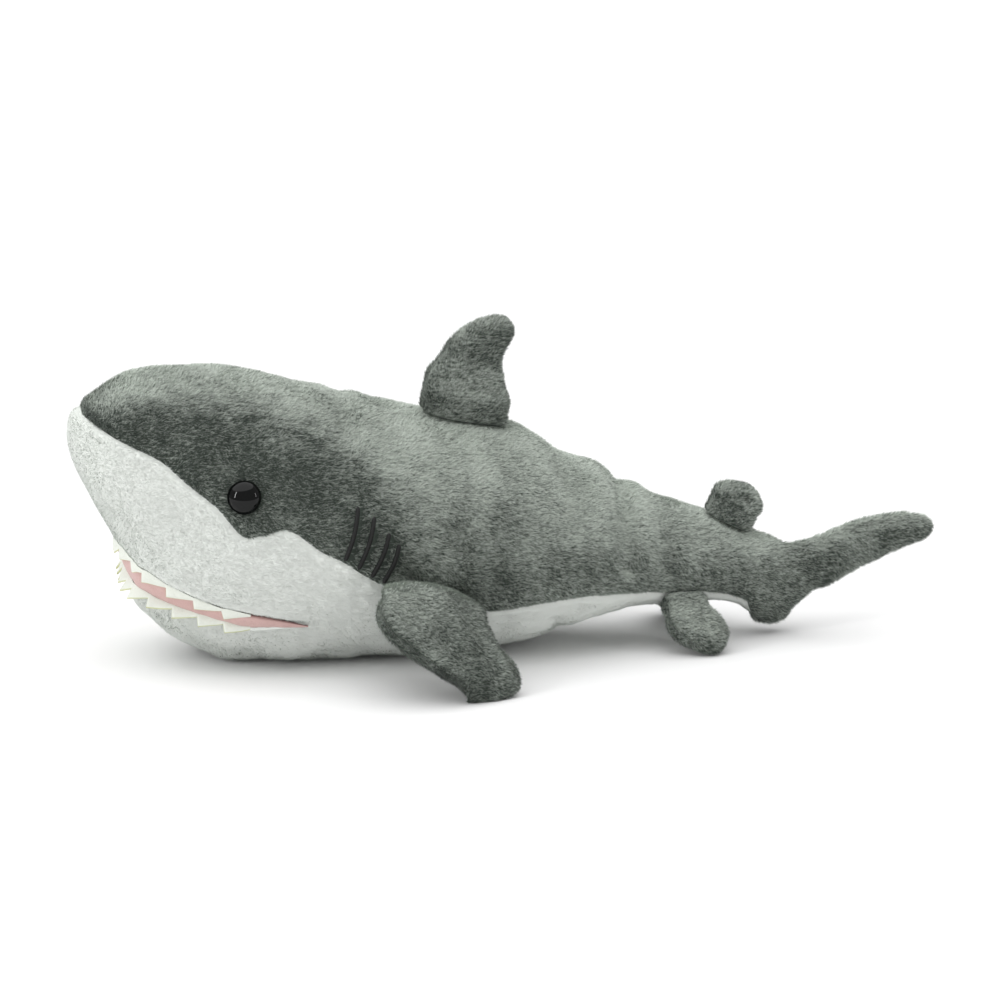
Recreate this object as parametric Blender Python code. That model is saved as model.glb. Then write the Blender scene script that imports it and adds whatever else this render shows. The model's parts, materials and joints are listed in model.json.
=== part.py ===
"""Stuffed toy shark, built the way it is sewn.

Plush panels are laid over a fibre filling, with felt teeth in the lip seams, snap-in plastic
eyes, embroidered gill lines, and stuffed fins that bend where they are sewn to the body.

Units are metres and +Z is up. The toy lies on the ground plane z = 0 with its head to -X and
its tail to +X, so its left side faces -Y. The origin is on the ground under the middle of the
toy's length. A station is a share of the length, counted from the nose.
"""

import math

import bmesh
import bpy
import numpy as np
from mathutils import Matrix, Vector

# Overall sizes of the stuffed body.
LENGTH = 0.444
HEIGHT = 0.151
WIDTH = 0.140

# Cloth, seams and the room that touching pieces leave each other.
SKIN = 0.0022
SEAM_GAP = 0.0005
FIT_GAP = 0.0006
BEND_GAP = 0.0010
ROOT_GAP = 0.0008

# Side view of the body: (station, share of HEIGHT) along the back and along the belly.
BACK_LINE = (
    (0.0, 0.78), (0.0052, 0.845), (0.0113, 0.872), (0.034, 0.927), (0.0685, 0.98),
    (0.126, 1.0), (0.20, 0.98), (0.266, 0.927), (0.333, 0.872), (0.401, 0.827),
    (0.507, 0.763), (0.555, 0.682), (0.603, 0.613), (0.661, 0.519), (0.736, 0.436),
    (0.828, 0.327), (0.872, 0.352), (0.914, 0.397), (0.957, 0.416), (0.985, 0.400),
    (1.0, 0.351),
)
BELLY_LINE = (
    (0.0, 0.78), (0.0052, 0.68), (0.0203, 0.556), (0.0396, 0.45), (0.0586, 0.345),
    (0.0667, 0.20), (0.0914, 0.114), (0.109, 0.07), (0.149, 0.012), (0.18, -0.016),
    (0.27, -0.025), (0.40, -0.022), (0.48, -0.004), (0.563, 0.047), (0.6125, 0.09), (0.661, 0.105),
    (0.736, 0.115), (0.765, 0.10), (0.785, 0.035), (0.806, 0.014), (0.822, 0.024),
    (0.84, 0.083), (0.872, 0.13), (0.914, 0.21), (0.957, 0.262), (0.985, 0.29),
    (1.0, 0.351),
)
# Plan view: (station, share of half the WIDTH), and the height at which the body is widest.
GIRTH_LINE = (
    (0.0, 0.0), (0.0158, 0.40), (0.038, 0.56), (0.072, 0.69), (0.113, 0.79),
    (0.162, 0.88), (0.207, 0.94), (0.275, 0.99), (0.345, 1.0), (0.455, 0.94),
    (0.511, 0.86), (0.568, 0.74), (0.613, 0.62), (0.658, 0.51), (0.703, 0.41),
    (0.748, 0.33), (0.793, 0.25), (0.838, 0.145), (0.894, 0.125), (0.95, 0.115),
    (0.984, 0.085), (1.0, 0.0),
)
WAIST_LINE = (
    (0.0, 0.78), (0.04, 0.68), (0.072, 0.60), (0.113, 0.53), (0.162, 0.48),
    (0.275, 0.43), (0.365, 0.41), (0.455, 0.38), (0.545, 0.35), (0.635, 0.31),
    (0.748, 0.26), (0.793, 0.22), (0.838, 0.205), (0.894, 0.28), (0.95, 0.34),
    (1.0, 0.351),
)
BELLY_FULLNESS = 2.35

# Seams, as (station, share of HEIGHT): grey sides to white underside, the two lips, and the
# seam that runs from the mouth's corner under the cheek.
SIDE_SEAM = (
    (0.0108, 0.862), (0.018, 0.855), (0.046, 0.815), (0.091, 0.757), (0.122, 0.68),
    (0.154, 0.605), (0.187, 0.508), (0.211, 0.52), (0.229, 0.535), (0.238, 0.525),
    (0.27, 0.456), (0.294, 0.42), (0.34, 0.33), (0.40, 0.262), (0.471, 0.205),
    (0.55, 0.222), (0.601, 0.211), (0.66, 0.189), (0.732, 0.164), (0.77, 0.125),
    (0.778, 0.06),
)
# The mouth: (station, height of the upper lip, opening under it in tooth lengths).
MOUTH = (
    (0.055, 0.385, 2.30), (0.08, 0.357, 2.15), (0.1, 0.322, 1.95), (0.136, 0.274, 1.45),
    (0.18, 0.236, 1.30), (0.217, 0.214, 0.88), (0.252, 0.193, 0.10),
)
TOOTH_LENGTH = 0.0058
CHEEK_SEAM = ((0.252, 0.195), (0.28, 0.12), (0.31, 0.055), (0.38, 0.055), (0.40, 0.26))
SEAM_POINTS = 44
LIP_POINTS = 16

# Eyes: domed plastic on a post, held by a lock washer inside the skin.
EYE_STATION = 0.185
EYE_HEIGHT = 0.642
EYE_RADIUS = 0.0084
EYE_DOME = 0.0068
EYE_RIM = 0.0012
EYE_SEAT = 0.0009
EYE_POST_RADIUS = 0.0022
EYE_POST_LENGTH = 0.0095
WASHER_RADIUS = 0.0060
WASHER_THICKNESS = 0.0014
WASHER_SET = 0.0009
WASHER_ROOM = 0.0003

# Gill lines: (station and share of HEIGHT at the top end, the same at the seam end).
GILL_LINES = (
    ((0.312, 0.601), (0.296, 0.432)),
    ((0.330, 0.567), (0.311, 0.402)),
    ((0.346, 0.515), (0.326, 0.374)),
    ((0.357, 0.477), (0.339, 0.352)),
)
GILL_RADIUS = 0.0007
GILL_BOW = 0.0012
GILL_POINTS = 7
GILL_INSET = 0.04

# Felt teeth.
FELT = 0.0014
TEETH_PER_STRIP = 14
TOOTH_STEPS = 4
TOOTH_NOTCH = 0.0012
TOOTH_TAPER = 0.45
TEETH_END_STATION = 0.18
LOWER_TEETH_FLARE = math.radians(38)
MOUTH_SINK = 0.0016

# Bends of the stuffed tail, and how far back from each bend the front part's rim stands.
TAIL_BEND_STATION = 0.68
TAIL_FIN_BEND_STATION = 0.845
RIM_SETBACK = 0.3

# Each fin: chord edges along the root line and half thickness at shares of its span.
# Rows are (share of span, front edge, rear edge, half thickness), in metres.
DORSAL_ROOT = (0.408, 0.492)
DORSAL_SPAN = 0.0440
DORSAL_ROWS = (
    (0.00, -0.0205, 0.0205, 0.0090), (0.20, -0.0205, 0.0178, 0.0088),
    (0.45, -0.0160, 0.0150, 0.0080), (0.70, -0.0100, 0.0160, 0.0070),
    (0.88, -0.0045, 0.0170, 0.0058), (1.00, 0.0015, 0.0135, 0.0030),
)
SECOND_ROOT = (0.741, 0.781)
SECOND_SPAN = 0.0135
SECOND_ROWS = (
    (0.00, -0.0085, 0.0085, 0.0060), (0.35, -0.0115, 0.0118, 0.0068),
    (0.70, -0.0105, 0.0108, 0.0064), (1.00, -0.0045, 0.0048, 0.0028),
)
PECTORAL_ROOT = ((0.345, 0.325), (0.452, 0.225))
PECTORAL_SPAN = 0.049
PECTORAL_ROWS = (
    (0.00, -0.0235, 0.0235, 0.0080), (0.22, -0.0310, 0.0300, 0.0092),
    (0.50, -0.0300, 0.0400, 0.0092), (0.75, -0.0220, 0.0450, 0.0080),
    (0.92, -0.0110, 0.0400, 0.0062), (1.00, 0.0010, 0.0280, 0.0034),
)
PECTORAL_CURL = math.radians(34)
PELVIC_ROOT = ((0.675, 0.166), (0.722, 0.153))
PELVIC_SPAN = 0.024
PELVIC_ROWS = (
    (0.00, -0.0080, 0.0105, 0.0052), (0.35, -0.0095, 0.0150, 0.0062),
    (0.70, -0.0060, 0.0175, 0.0058), (1.00, 0.0015, 0.0120, 0.0026),
)
PELVIC_CURL = math.radians(6)
GROUND_GAP = 0.0006
# Room past each end of a fin's root, and half the length of body looked at for clearance.
ROOT_SPARE = 0.004
ROOT_REACH = 0.12
# A fin's root is rounded off over these shares of its thickness, behind the root line.
ROOT_ROLL = (-0.85, -0.5)
# Power that squares off a fin's section, and the thinnest and narrowest it can get.
FIN_SQUARENESS = 0.8
THINNEST = 0.0004
NARROWEST = 0.0008

# Mesh fineness. Rings get closer together towards the nose and the tail's tip, by a power.
BODY_SIDES = 20
RING_STEP = 0.0150
NOSE_END = 0.10
NOSE_RINGS = 11
NOSE_POWER = 1.8
TAIL_START = 0.98
TAIL_RINGS = 3
TAIL_POWER = 2
FIN_RING_POWER = 0.9
LIP_SIDES = 361
LIP_STEPS = 500
FIN_RINGS = 7
FIN_SIDES = 6
END_INSET = 0.02
ROUND_SIDES = 16
DOME_RINGS = 4
BEND_SIDES = 32
FAR = 0.5

GREY_PLUSH = ("grey_plush", (0.19, 0.21, 0.18), 0.95, 0.0)
WHITE_PLUSH = ("white_plush", (0.78, 0.80, 0.75), 0.95, 0.0)
PINK_CLOTH = ("pink_cloth", (0.60, 0.36, 0.34), 0.85, 0.0)
FELT_CLOTH = ("cream_felt", (0.80, 0.80, 0.66), 0.90, 0.0)
BLACK_PLASTIC = ("black_plastic", (0.01, 0.01, 0.012), 0.08, 0.0)
WASHER_PLASTIC = ("washer_plastic", (0.75, 0.75, 0.72), 0.45, 0.0)
THREAD = ("black_thread", (0.015, 0.016, 0.015), 0.55, 0.0)
FILLING = ("polyester_fibre", (0.88, 0.88, 0.86), 1.0, 0.0)


# ---------------------------------------------------------------------------------------
# The body's form


def line(points):
    """A smooth function of the station through (station, value) points, without overshoot.

    It is a cubic in an angle that opens up both ends of the body, so a value that leaves the
    nose or the tail tip steeply gives a round end.
    """
    stations, values = np.array(points, float).T
    at = np.arccos(1 - 2 * stations)
    step = np.diff(at)
    rise = np.diff(values) / step
    slope = np.zeros(len(at))
    same = rise[1:] * rise[:-1] > 0
    mean = 2 * rise[1:] * rise[:-1] / np.where(same, rise[1:] + rise[:-1], 1)
    slope[1:-1] = np.where(same, mean, 0)
    slope[0], slope[-1] = rise[0], rise[-1]

    def value(station):
        angle = np.arccos(1 - 2 * np.clip(station, 0, 1))
        angle = np.clip(angle, at[0], at[-1])
        i = np.clip(np.searchsorted(at, angle) - 1, 0, len(step) - 1)
        t = (angle - at[i]) / step[i]
        a = (1 + 2 * t) * (1 - t) ** 2 * values[i] + t * t * (3 - 2 * t) * values[i + 1]
        b = t * (1 - t) ** 2 * slope[i] - t * t * (1 - t) * slope[i + 1]
        return a + b * step[i]

    return value


back, belly = line(BACK_LINE), line(BELLY_LINE)
girth, waist = line(GIRTH_LINE), line(WAIST_LINE)
UPPER_LIP = tuple((at, height) for at, height, _ in MOUTH)
LOWER_LIP = tuple((at, high - share * TOOTH_LENGTH / HEIGHT) for at, high, share in MOUTH)
upper_lip, lower_lip = line(UPPER_LIP), line(LOWER_LIP)


def x_of(station):
    """Distance along X of a station."""
    return (np.asarray(station, float) - 0.5) * LENGTH


def station_of(x):
    """Station of a distance along X."""
    return np.asarray(x, float) / LENGTH + 0.5


def signed_power(value, power):
    """value raised to power, keeping its sign."""
    return np.sign(value) * np.abs(value) ** power


def skin_points(station, angle):
    """Points of the body's outside. The angle runs from the crown (0) down the left side.

    Above its widest height a section is half an ellipse. Below it the section is a fuller
    curve, the superellipse of BELLY_FULLNESS.
    """
    station, angle = np.broadcast_arrays(np.asarray(station, float), angle)
    middle = waist(station) * HEIGHT
    top = back(station) * HEIGHT - middle
    drop = middle - belly(station) * HEIGHT
    half = girth(station) * WIDTH / 2
    under = np.cos(angle) < 0
    power = np.where(under, 2 / BELLY_FULLNESS, 1.0)
    y = -half * signed_power(np.sin(angle), power)
    z = middle + np.where(under, drop, top) * signed_power(np.cos(angle), power)
    return np.stack([x_of(station), y, z], -1)


def form_points(station, angle, depth):
    """Points at a depth under the body's outside, measured square to it, above the ground."""
    small = 1e-4
    ahead = skin_points(np.clip(station + small, 0, 1), angle)
    along = ahead - skin_points(np.clip(station - small, 0, 1), angle)
    round_it = skin_points(station, angle + small) - skin_points(station, angle - small)
    normal = np.cross(round_it, along)
    normal /= np.maximum(np.linalg.norm(normal, axis=-1, keepdims=True), 1e-15)
    found = skin_points(station, angle) - depth * normal
    found[..., 2] = np.maximum(found[..., 2], depth)
    return found


def half_width(station, height, depth=0.0):
    """Half the body's width at a height in metres, at a depth under its outside."""
    station = np.asarray(station, float)
    middle = waist(station) * HEIGHT
    top = np.maximum(back(station) * HEIGHT - middle - depth, 1e-6)
    drop = np.maximum(middle - belly(station) * HEIGHT - depth, 1e-6)
    half = np.maximum(girth(station) * WIDTH / 2 - depth, 1e-6)
    under = height < middle
    power = np.where(under, BELLY_FULLNESS, 2.0)
    share = np.abs(height - middle) / np.where(under, drop, top)
    return half * np.maximum(1 - share**power, 0) ** (1 / power)


def on_side(station, share):
    """Point and outward normal on the left side, at a station and a share of HEIGHT."""
    x, z = float(x_of(station)), share * HEIGHT
    small = 1e-4
    point = Vector((x, -float(half_width(station, z)), z))
    ahead = float(half_width(station + small, z)) + point.y
    above = float(half_width(station, z + small)) + point.y
    normal = Vector((-ahead / (small * LENGTH), -1.0, -above / small)).normalized()
    return point, normal


def body_stations():
    """Stations of the body's rings, close together at the nose and at the tail's tip."""
    nose = NOSE_END * (np.arange(1, NOSE_RINGS + 1) / NOSE_RINGS) ** NOSE_POWER
    tail_share = (np.arange(TAIL_RINGS, 0, -1) / TAIL_RINGS) ** TAIL_POWER
    tail = 1 - (1 - TAIL_START) * tail_share
    count = round((tail[0] - nose[-1]) * LENGTH / RING_STEP)
    middle = np.linspace(nose[-1], tail[0], count + 1)[1:-1]
    return np.concatenate([nose, middle, tail])


def body_rings(depth):
    """Rings of points of the body at a depth, with the two end points."""
    stations = body_stations()
    angles = 2 * np.pi * np.arange(BODY_SIDES) / BODY_SIDES
    rings = form_points(stations[:, None], angles[None, :], depth)
    low = x_of(0.0) + depth
    high = x_of(1.0) - depth
    nose = (low, 0.0, float(back(0.0)) * HEIGHT)
    tip = (high, 0.0, float(back(1.0)) * HEIGHT)
    inset = depth * END_INSET
    rings[..., 0] = np.clip(rings[..., 0], low + inset, high - inset)
    return rings, nose, tip


# ---------------------------------------------------------------------------------------
# Meshes and objects


def make_material(finish):
    """The finish's material, made once."""
    name, colour, roughness, metallic = finish
    found = bpy.data.materials.get(name)
    if found is not None:
        return found
    material = bpy.data.materials.new(name)
    material.use_nodes = True
    shader = material.node_tree.nodes["Principled BSDF"]
    shader.inputs["Base Color"].default_value = (*colour, 1.0)
    shader.inputs["Roughness"].default_value = roughness
    shader.inputs["Metallic"].default_value = metallic
    material.diffuse_color = (*colour, 1.0)
    return material


def add_object(name, data, finish=None, place=None):
    """Links data to the scene as an object, under an empty if place names one."""
    made = bpy.data.objects.new(name, data)
    bpy.context.collection.objects.link(made)
    if finish is not None:
        data.materials.append(make_material(finish))
    if place is not None:
        made.parent = place
    return made


def bridge(bm, first, second, closed=True):
    """Faces between two rows of vertices."""
    count = len(first)
    for i in range(count if closed else count - 1):
        j = (i + 1) % count
        bm.faces.new((first[i], first[j], second[j], second[i]))


def lofted(bm, rings, start=None, end=None):
    """A closed tube of rings, each end closed by a point if it is given, or else a flat cap."""
    rows = [[bm.verts.new(point) for point in ring] for ring in rings]
    for first, second in zip(rows[:-1], rows[1:]):
        bridge(bm, first, second)
    for row, point in ((rows[0], start), (rows[-1], end)):
        if point is None:
            bm.faces.new(row)
            continue
        pole = bm.verts.new(point)
        for i, vertex in enumerate(row):
            bm.faces.new((pole, vertex, row[(i + 1) % len(row)]))


def finished(bm, name, sharp=50):
    """Turns every face outwards and makes a smooth-shaded mesh."""
    bmesh.ops.recalc_face_normals(bm, faces=bm.faces)
    mesh = bpy.data.meshes.new(name)
    bm.to_mesh(mesh)
    bm.free()
    mesh.shade_smooth()
    mesh.set_sharp_from_angle(angle=math.radians(sharp))
    return mesh


def solid_form(name, depth):
    """Mesh of the body's form at a depth under its outside."""
    bm = bmesh.new()
    rings, nose, tip = body_rings(depth)
    lofted(bm, rings, nose, tip)
    return finished(bm, name)


def hollow_form(name, outer, inner):
    """Mesh of the body's skin between two depths, before its seams are cut."""
    bm = bmesh.new()
    for depth in (outer, inner):
        rings, nose, tip = body_rings(depth)
        lofted(bm, rings, nose, tip)
        if depth == outer:
            bmesh.ops.recalc_face_normals(bm, faces=bm.faces)
            outside = set(bm.faces)
    inside = [face for face in bm.faces if face not in outside]
    bmesh.ops.recalc_face_normals(bm, faces=inside)
    bmesh.ops.reverse_faces(bm, faces=inside)
    mesh = bpy.data.meshes.new(name)
    bm.to_mesh(mesh)
    bm.free()
    mesh.shade_smooth()
    return mesh


def cutter(name, mesh):
    """A hidden object that only cuts others."""
    made = add_object(name, mesh)
    made.hide_render = True
    made.display_type = "WIRE"
    return made


def prism(name, outline, low=-FAR, high=FAR):
    """A cutter with an outline of (x, z) points, extruded from y = low to y = high."""
    bm = bmesh.new()
    face = bm.faces.new([bm.verts.new((x, low, z)) for x, z in outline])
    found = bmesh.ops.extrude_face_region(bm, geom=[face])["geom"]
    moved = [part for part in found if isinstance(part, bmesh.types.BMVert)]
    bmesh.ops.translate(bm, verts=moved, vec=(0, high - low, 0))
    return cutter(name, finished(bm, name))


def upright_cylinder(name, x, radius):
    """A tall cutter that turns about the vertical line at x."""
    bm = bmesh.new()
    turn = 2 * np.pi * np.arange(BEND_SIDES) / BEND_SIDES
    ring = np.stack([x + radius * np.cos(turn), radius * np.sin(turn)], -1)
    rings = [[(px, py, z) for px, py in ring] for z in (-FAR, FAR)]
    lofted(bm, rings)
    return cutter(name, finished(bm, name))


def cut(piece, tool, operation):
    """Adds a Boolean modifier."""
    modifier = piece.modifiers.new(f"{operation.lower()} {tool.name}", "BOOLEAN")
    modifier.operation = operation
    modifier.solver = "EXACT"
    modifier.object = tool


# ---------------------------------------------------------------------------------------
# Seam outlines on the side view


def seam_curve(points, count):
    """(x, z) points along a seam, at even stations over its whole length."""
    stations = np.linspace(points[0][0], points[-1][0], count)
    height = line(points)(stations) * HEIGHT
    return np.stack([x_of(stations), height], -1)


def shifted(curve, amount):
    """A curve moved square to itself, upwards if amount is positive and it runs to +X."""
    along = np.gradient(curve, axis=0)
    along /= np.linalg.norm(along, axis=1, keepdims=True)
    return curve + amount * np.stack([-along[:, 1], along[:, 0]], -1)


def grey_outline():
    """The area above the side seam."""
    seam = shifted(seam_curve(SIDE_SEAM, SEAM_POINTS), SEAM_GAP / 2)
    front, end = seam[0][0], seam[-1][0]
    return [(front, FAR), *seam, (end, -FAR), (FAR, -FAR), (FAR, FAR)]


def from_nose(curve):
    """A curve with a level run added from far ahead of the nose."""
    return np.concatenate([[(-FAR, curve[0][1])], curve])


def mouth_edge(lip, amount):
    """A lip moved up by amount and run on to a point ahead of the nose."""
    return from_nose(shifted(seam_curve(lip, LIP_POINTS), amount))


def cheek_edge(amount):
    """The seam from the mouth's corner under the cheek to the side seam."""
    return shifted(seam_curve(CHEEK_SEAM, LIP_POINTS), amount)[1:]


def face_outline():
    """The white face: over the upper lip and the cheek seam, and under the side seam."""
    half = SEAM_GAP / 2
    seam = shifted(seam_curve(SIDE_SEAM, SEAM_POINTS), -half)
    cheek = cheek_edge(half)
    cheek = cheek[cheek[:, 0] < x_of(CHEEK_SEAM[-1][0]) - SEAM_GAP]
    seam = seam[seam[:, 0] < cheek[-1][0]]
    lower = np.concatenate([mouth_edge(UPPER_LIP, half), cheek])
    return [*lower, *seam[::-1], (seam[0][0], FAR), (-FAR, FAR)]


def belly_outline():
    """The white underside: under the lower lip, the cheek seam and then the side seam."""
    half = SEAM_GAP / 2
    seam = shifted(seam_curve(SIDE_SEAM, SEAM_POINTS), -half)
    cheek = cheek_edge(-half)
    seam = seam[seam[:, 0] > cheek[-1][0]]
    upper = np.concatenate([mouth_edge(LOWER_LIP, -half), cheek, seam])
    return [(-FAR, -FAR), *upper, (upper[-1][0], -FAR)]


def mouth_outline(spare=0.0):
    """The area between the lips, which narrows to the corner of the mouth."""
    margin = spare - SEAM_GAP / 2
    top = mouth_edge(UPPER_LIP, margin)
    bottom = mouth_edge(LOWER_LIP, -margin)
    open_part = top[:, 1] - bottom[:, 1] > SEAM_GAP
    return [*top[open_part], *bottom[open_part][::-1]]


def bend_tools(name, station):
    """Cutters for a bend: what the front part loses and what the rear part keeps.

    The rear part starts as an upright roll of the body's half width there, and the front part
    holds it with BEND_GAP of room, up to a rim that stands back from the bend.
    """
    x = float(x_of(station))
    radius = float(girth(station)) * WIDTH / 2
    rim = x - RIM_SETBACK * radius
    box = [(rim, -FAR), (FAR, -FAR), (FAR, FAR), (rim, FAR)]
    beyond = prism(f"{name}_beyond", box)
    socket = upright_cylinder(f"{name}_socket", x, radius + BEND_GAP)
    roll = upright_cylinder(f"{name}_roll", x, radius)
    rear = prism(f"{name}_rear", [(x, -FAR), (FAR, -FAR), (FAR, FAR), (x, FAR)])
    cut(rear, roll, "UNION")
    return {"front": (beyond, socket), "rear": rear, "x": x}


def panel(name, blank, finish, keep=(), lose=(), place=None):
    """One piece cut from a blank of the body: what all of keep hold, less every lose."""
    made = add_object(name, blank.copy(), finish, place)
    for tool in keep:
        cut(made, tool, "INTERSECT")
    for tool in lose:
        cut(made, tool, "DIFFERENCE")
    return made


def move_origin(piece, x, place):
    """Puts a piece's origin at x on the ground line and parents it there."""
    piece.data.transform(Matrix.Translation((-x, 0, 0)))
    piece.parent = place
    return piece


# ---------------------------------------------------------------------------------------
# Body, tail and tail fin


def empty(name, matrix):
    """An empty that marks a joint's axis: the piece turns about the empty's X or Z axis."""
    made = bpy.data.objects.new(name, None)
    bpy.context.collection.objects.link(made)
    made.matrix_world = matrix
    return made


def build_body():
    """Cuts the trunk, tail and tail fin from one form, each with its panels and filling."""
    half = SEAM_GAP / 2
    skin = hollow_form("skin_blank", 0.0, SKIN)
    lining = hollow_form("mouth_blank", MOUTH_SINK, MOUTH_SINK + SKIN)
    core = solid_form("core_blank", SKIN + FIT_GAP)
    mouth_core = MOUTH_SINK + SKIN + FIT_GAP

    left = prism("left_grey_area", grey_outline(), -FAR, -half)
    right = prism("right_grey_area", grey_outline(), half, FAR)
    face = prism("face_area", face_outline())
    under = prism("belly_area", belly_outline())
    mouth = prism("mouth_area", mouth_outline())
    tail_bend = bend_tools("tail_bend", TAIL_BEND_STATION)
    fin_bend = bend_tools("tail_fin_bend", TAIL_FIN_BEND_STATION)

    # The filling stands back behind the mouth, where the panel is sunk between the lips.
    deep = cutter("mouth_core_form", solid_form("mouth_core_form", mouth_core))
    band = prism("mouth_band", mouth_outline(2 * FIT_GAP))
    cut(band, deep, "DIFFERENCE")

    eye_tools = [eye_cutters(side) for side in (1, -1)]
    front = tail_bend["front"]
    panel("trunk_filling", core, FILLING, (), (*front, band, *(e[1] for e in eye_tools)))
    panel("side_panel_left", skin, GREY_PLUSH, (left,), (*front, *eye_tools[0][0]))
    panel("side_panel_right", skin, GREY_PLUSH, (right,), (*front, *eye_tools[1][0]))
    panel("face_panel", skin, WHITE_PLUSH, (face,))
    panel("mouth_panel", lining, PINK_CLOTH, (mouth,))
    panel("belly_panel", skin, WHITE_PLUSH, (under,), front)

    tail = empty("tail_bend_axis", Matrix.Translation((tail_bend["x"], 0, 0)))
    fin = empty("tail_fin_bend_axis", Matrix.Translation((fin_bend["x"], 0, 0)))
    rear, end = tail_bend["rear"], fin_bend["rear"]
    pieces = (
        ("tail_filling", core, FILLING, (rear,), fin_bend["front"], tail),
        ("tail_panel_left", skin, GREY_PLUSH, (left, rear), fin_bend["front"], tail),
        ("tail_panel_right", skin, GREY_PLUSH, (right, rear), fin_bend["front"], tail),
        ("tail_belly_panel", skin, WHITE_PLUSH, (under, rear), (), tail),
        ("tail_fin_filling", core, FILLING, (end,), (), fin),
        ("tail_fin_panel_left", skin, GREY_PLUSH, (left, end), (), fin),
        ("tail_fin_panel_right", skin, GREY_PLUSH, (right, end), (), fin),
    )
    for name, blank, finish, keep, lose, place in pieces:
        made = panel(name, blank, finish, keep, lose)
        move_origin(made, place.matrix_world.translation.x, place)
    fin.parent = tail
    fin.matrix_parent_inverse = tail.matrix_world.inverted()


# ---------------------------------------------------------------------------------------
# Eyes


def eye_matrix(side):
    """Place of an eye on the skin, with its Z axis pointing out. side is 1 for the left."""
    point, normal = on_side(EYE_STATION, EYE_HEIGHT)
    point.y *= side
    normal.y *= side
    turn = normal.to_track_quat("Z", "Y")
    return Matrix.Translation(point) @ turn.to_matrix().to_4x4()


def turned(bm, profile, closed_ring=False):
    """Turns (radius, height) points about Z; a radius of 0 closes the shape at a point."""
    turn = 2 * np.pi * np.arange(ROUND_SIDES) / ROUND_SIDES
    rings = []
    ends = [None, None]
    for k, (radius, height) in enumerate(profile):
        if radius == 0:
            ends[0 if k == 0 else 1] = (0, 0, height)
            continue
        rings.append([(radius * math.cos(a), radius * math.sin(a), height) for a in turn])
    if not closed_ring:
        lofted(bm, rings, *ends)
        return
    rows = [[bm.verts.new(point) for point in ring] for ring in rings]
    for first, second in zip(rows, rows[1:] + rows[:1]):
        bridge(bm, first, second)


def drum(name, radius, low, high, matrix):
    """A round cutter between two heights of a placed frame."""
    bm = bmesh.new()
    turned(bm, [(radius, low), (radius, high)])
    made = cutter(name, finished(bm, name))
    made.matrix_world = matrix
    return made


def eye_cutters(side):
    """The dome's seat and the post's hole in the skin, and the pocket in the filling."""
    word = "left" if side == 1 else "right"
    matrix = eye_matrix(side)
    reach = 2 * EYE_POST_LENGTH
    seat = drum(f"eye_seat_{word}", EYE_RADIUS + FIT_GAP, -EYE_SEAT, reach, matrix)
    hole_radius = EYE_POST_RADIUS + FIT_GAP
    hole = drum(f"eye_hole_{word}", hole_radius, -reach, reach, matrix)
    bottom = -(EYE_POST_LENGTH + EYE_SEAT + FIT_GAP)
    pocket = drum(f"eye_pocket_{word}", WASHER_RADIUS + FIT_GAP, bottom, reach, matrix)
    return (seat, hole), pocket


def build_eyes():
    """A domed eye with its post, and its lock washer behind the skin, on each side."""
    base = FIT_GAP / 2 - EYE_SEAT
    arc = np.linspace(0, np.pi / 2, DOME_RINGS + 2)[1:-1]
    rise = EYE_DOME - EYE_RIM
    dome = [(EYE_RADIUS * math.cos(a), base + EYE_RIM + rise * math.sin(a)) for a in arc]
    profile = [
        (0, base - EYE_POST_LENGTH),
        (EYE_POST_RADIUS, base - EYE_POST_LENGTH),
        (EYE_POST_RADIUS, base),
        (EYE_RADIUS, base),
        (EYE_RADIUS, base + EYE_RIM),
        *dome,
        (0, base + EYE_DOME),
    ]
    bore = EYE_POST_RADIUS + WASHER_ROOM
    top = -(SKIN + FIT_GAP + WASHER_SET)
    low = top - WASHER_THICKNESS
    ring = [(bore, low), (WASHER_RADIUS, low), (WASHER_RADIUS, top), (bore, top)]
    for side, word in ((1, "left"), (-1, "right")):
        bm = bmesh.new()
        turned(bm, profile)
        eye = add_object(f"eye_{word}", finished(bm, "eye"), BLACK_PLASTIC)
        eye.matrix_world = eye_matrix(side)
        bm = bmesh.new()
        turned(bm, ring, closed_ring=True)
        washer = add_object(f"eye_washer_{word}", finished(bm, "washer"), WASHER_PLASTIC)
        washer.matrix_world = eye_matrix(side)


# ---------------------------------------------------------------------------------------
# Gill lines and teeth


def build_gills():
    """Four embroidered lines on each side, each a thin cord laid on the plush."""
    lift = GILL_RADIUS + FIT_GAP / 2
    for side, word in ((1, "left"), (-1, "right")):
        for number, (top, bottom) in enumerate(GILL_LINES, 1):
            curve = bpy.data.curves.new(f"gill_{word}_{number}", "CURVE")
            curve.dimensions = "3D"
            curve.bevel_depth = GILL_RADIUS
            curve.bevel_resolution = 1
            curve.use_fill_caps = True
            spline = curve.splines.new("POLY")
            spline.points.add(GILL_POINTS - 1)
            shares = np.linspace(GILL_INSET, 1 - GILL_INSET, GILL_POINTS)
            for point, t in zip(spline.points, shares):
                bow = GILL_BOW / LENGTH * math.sin(math.pi * t)
                station = top[0] + (bottom[0] - top[0]) * t + bow
                share = top[1] + (bottom[1] - top[1]) * t
                place, normal = on_side(station, share)
                place += normal * lift
                point.co = (place.x, place.y * side, place.z, 1.0)
            add_object(f"gill_{word}_{number}", curve, THREAD)


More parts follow.
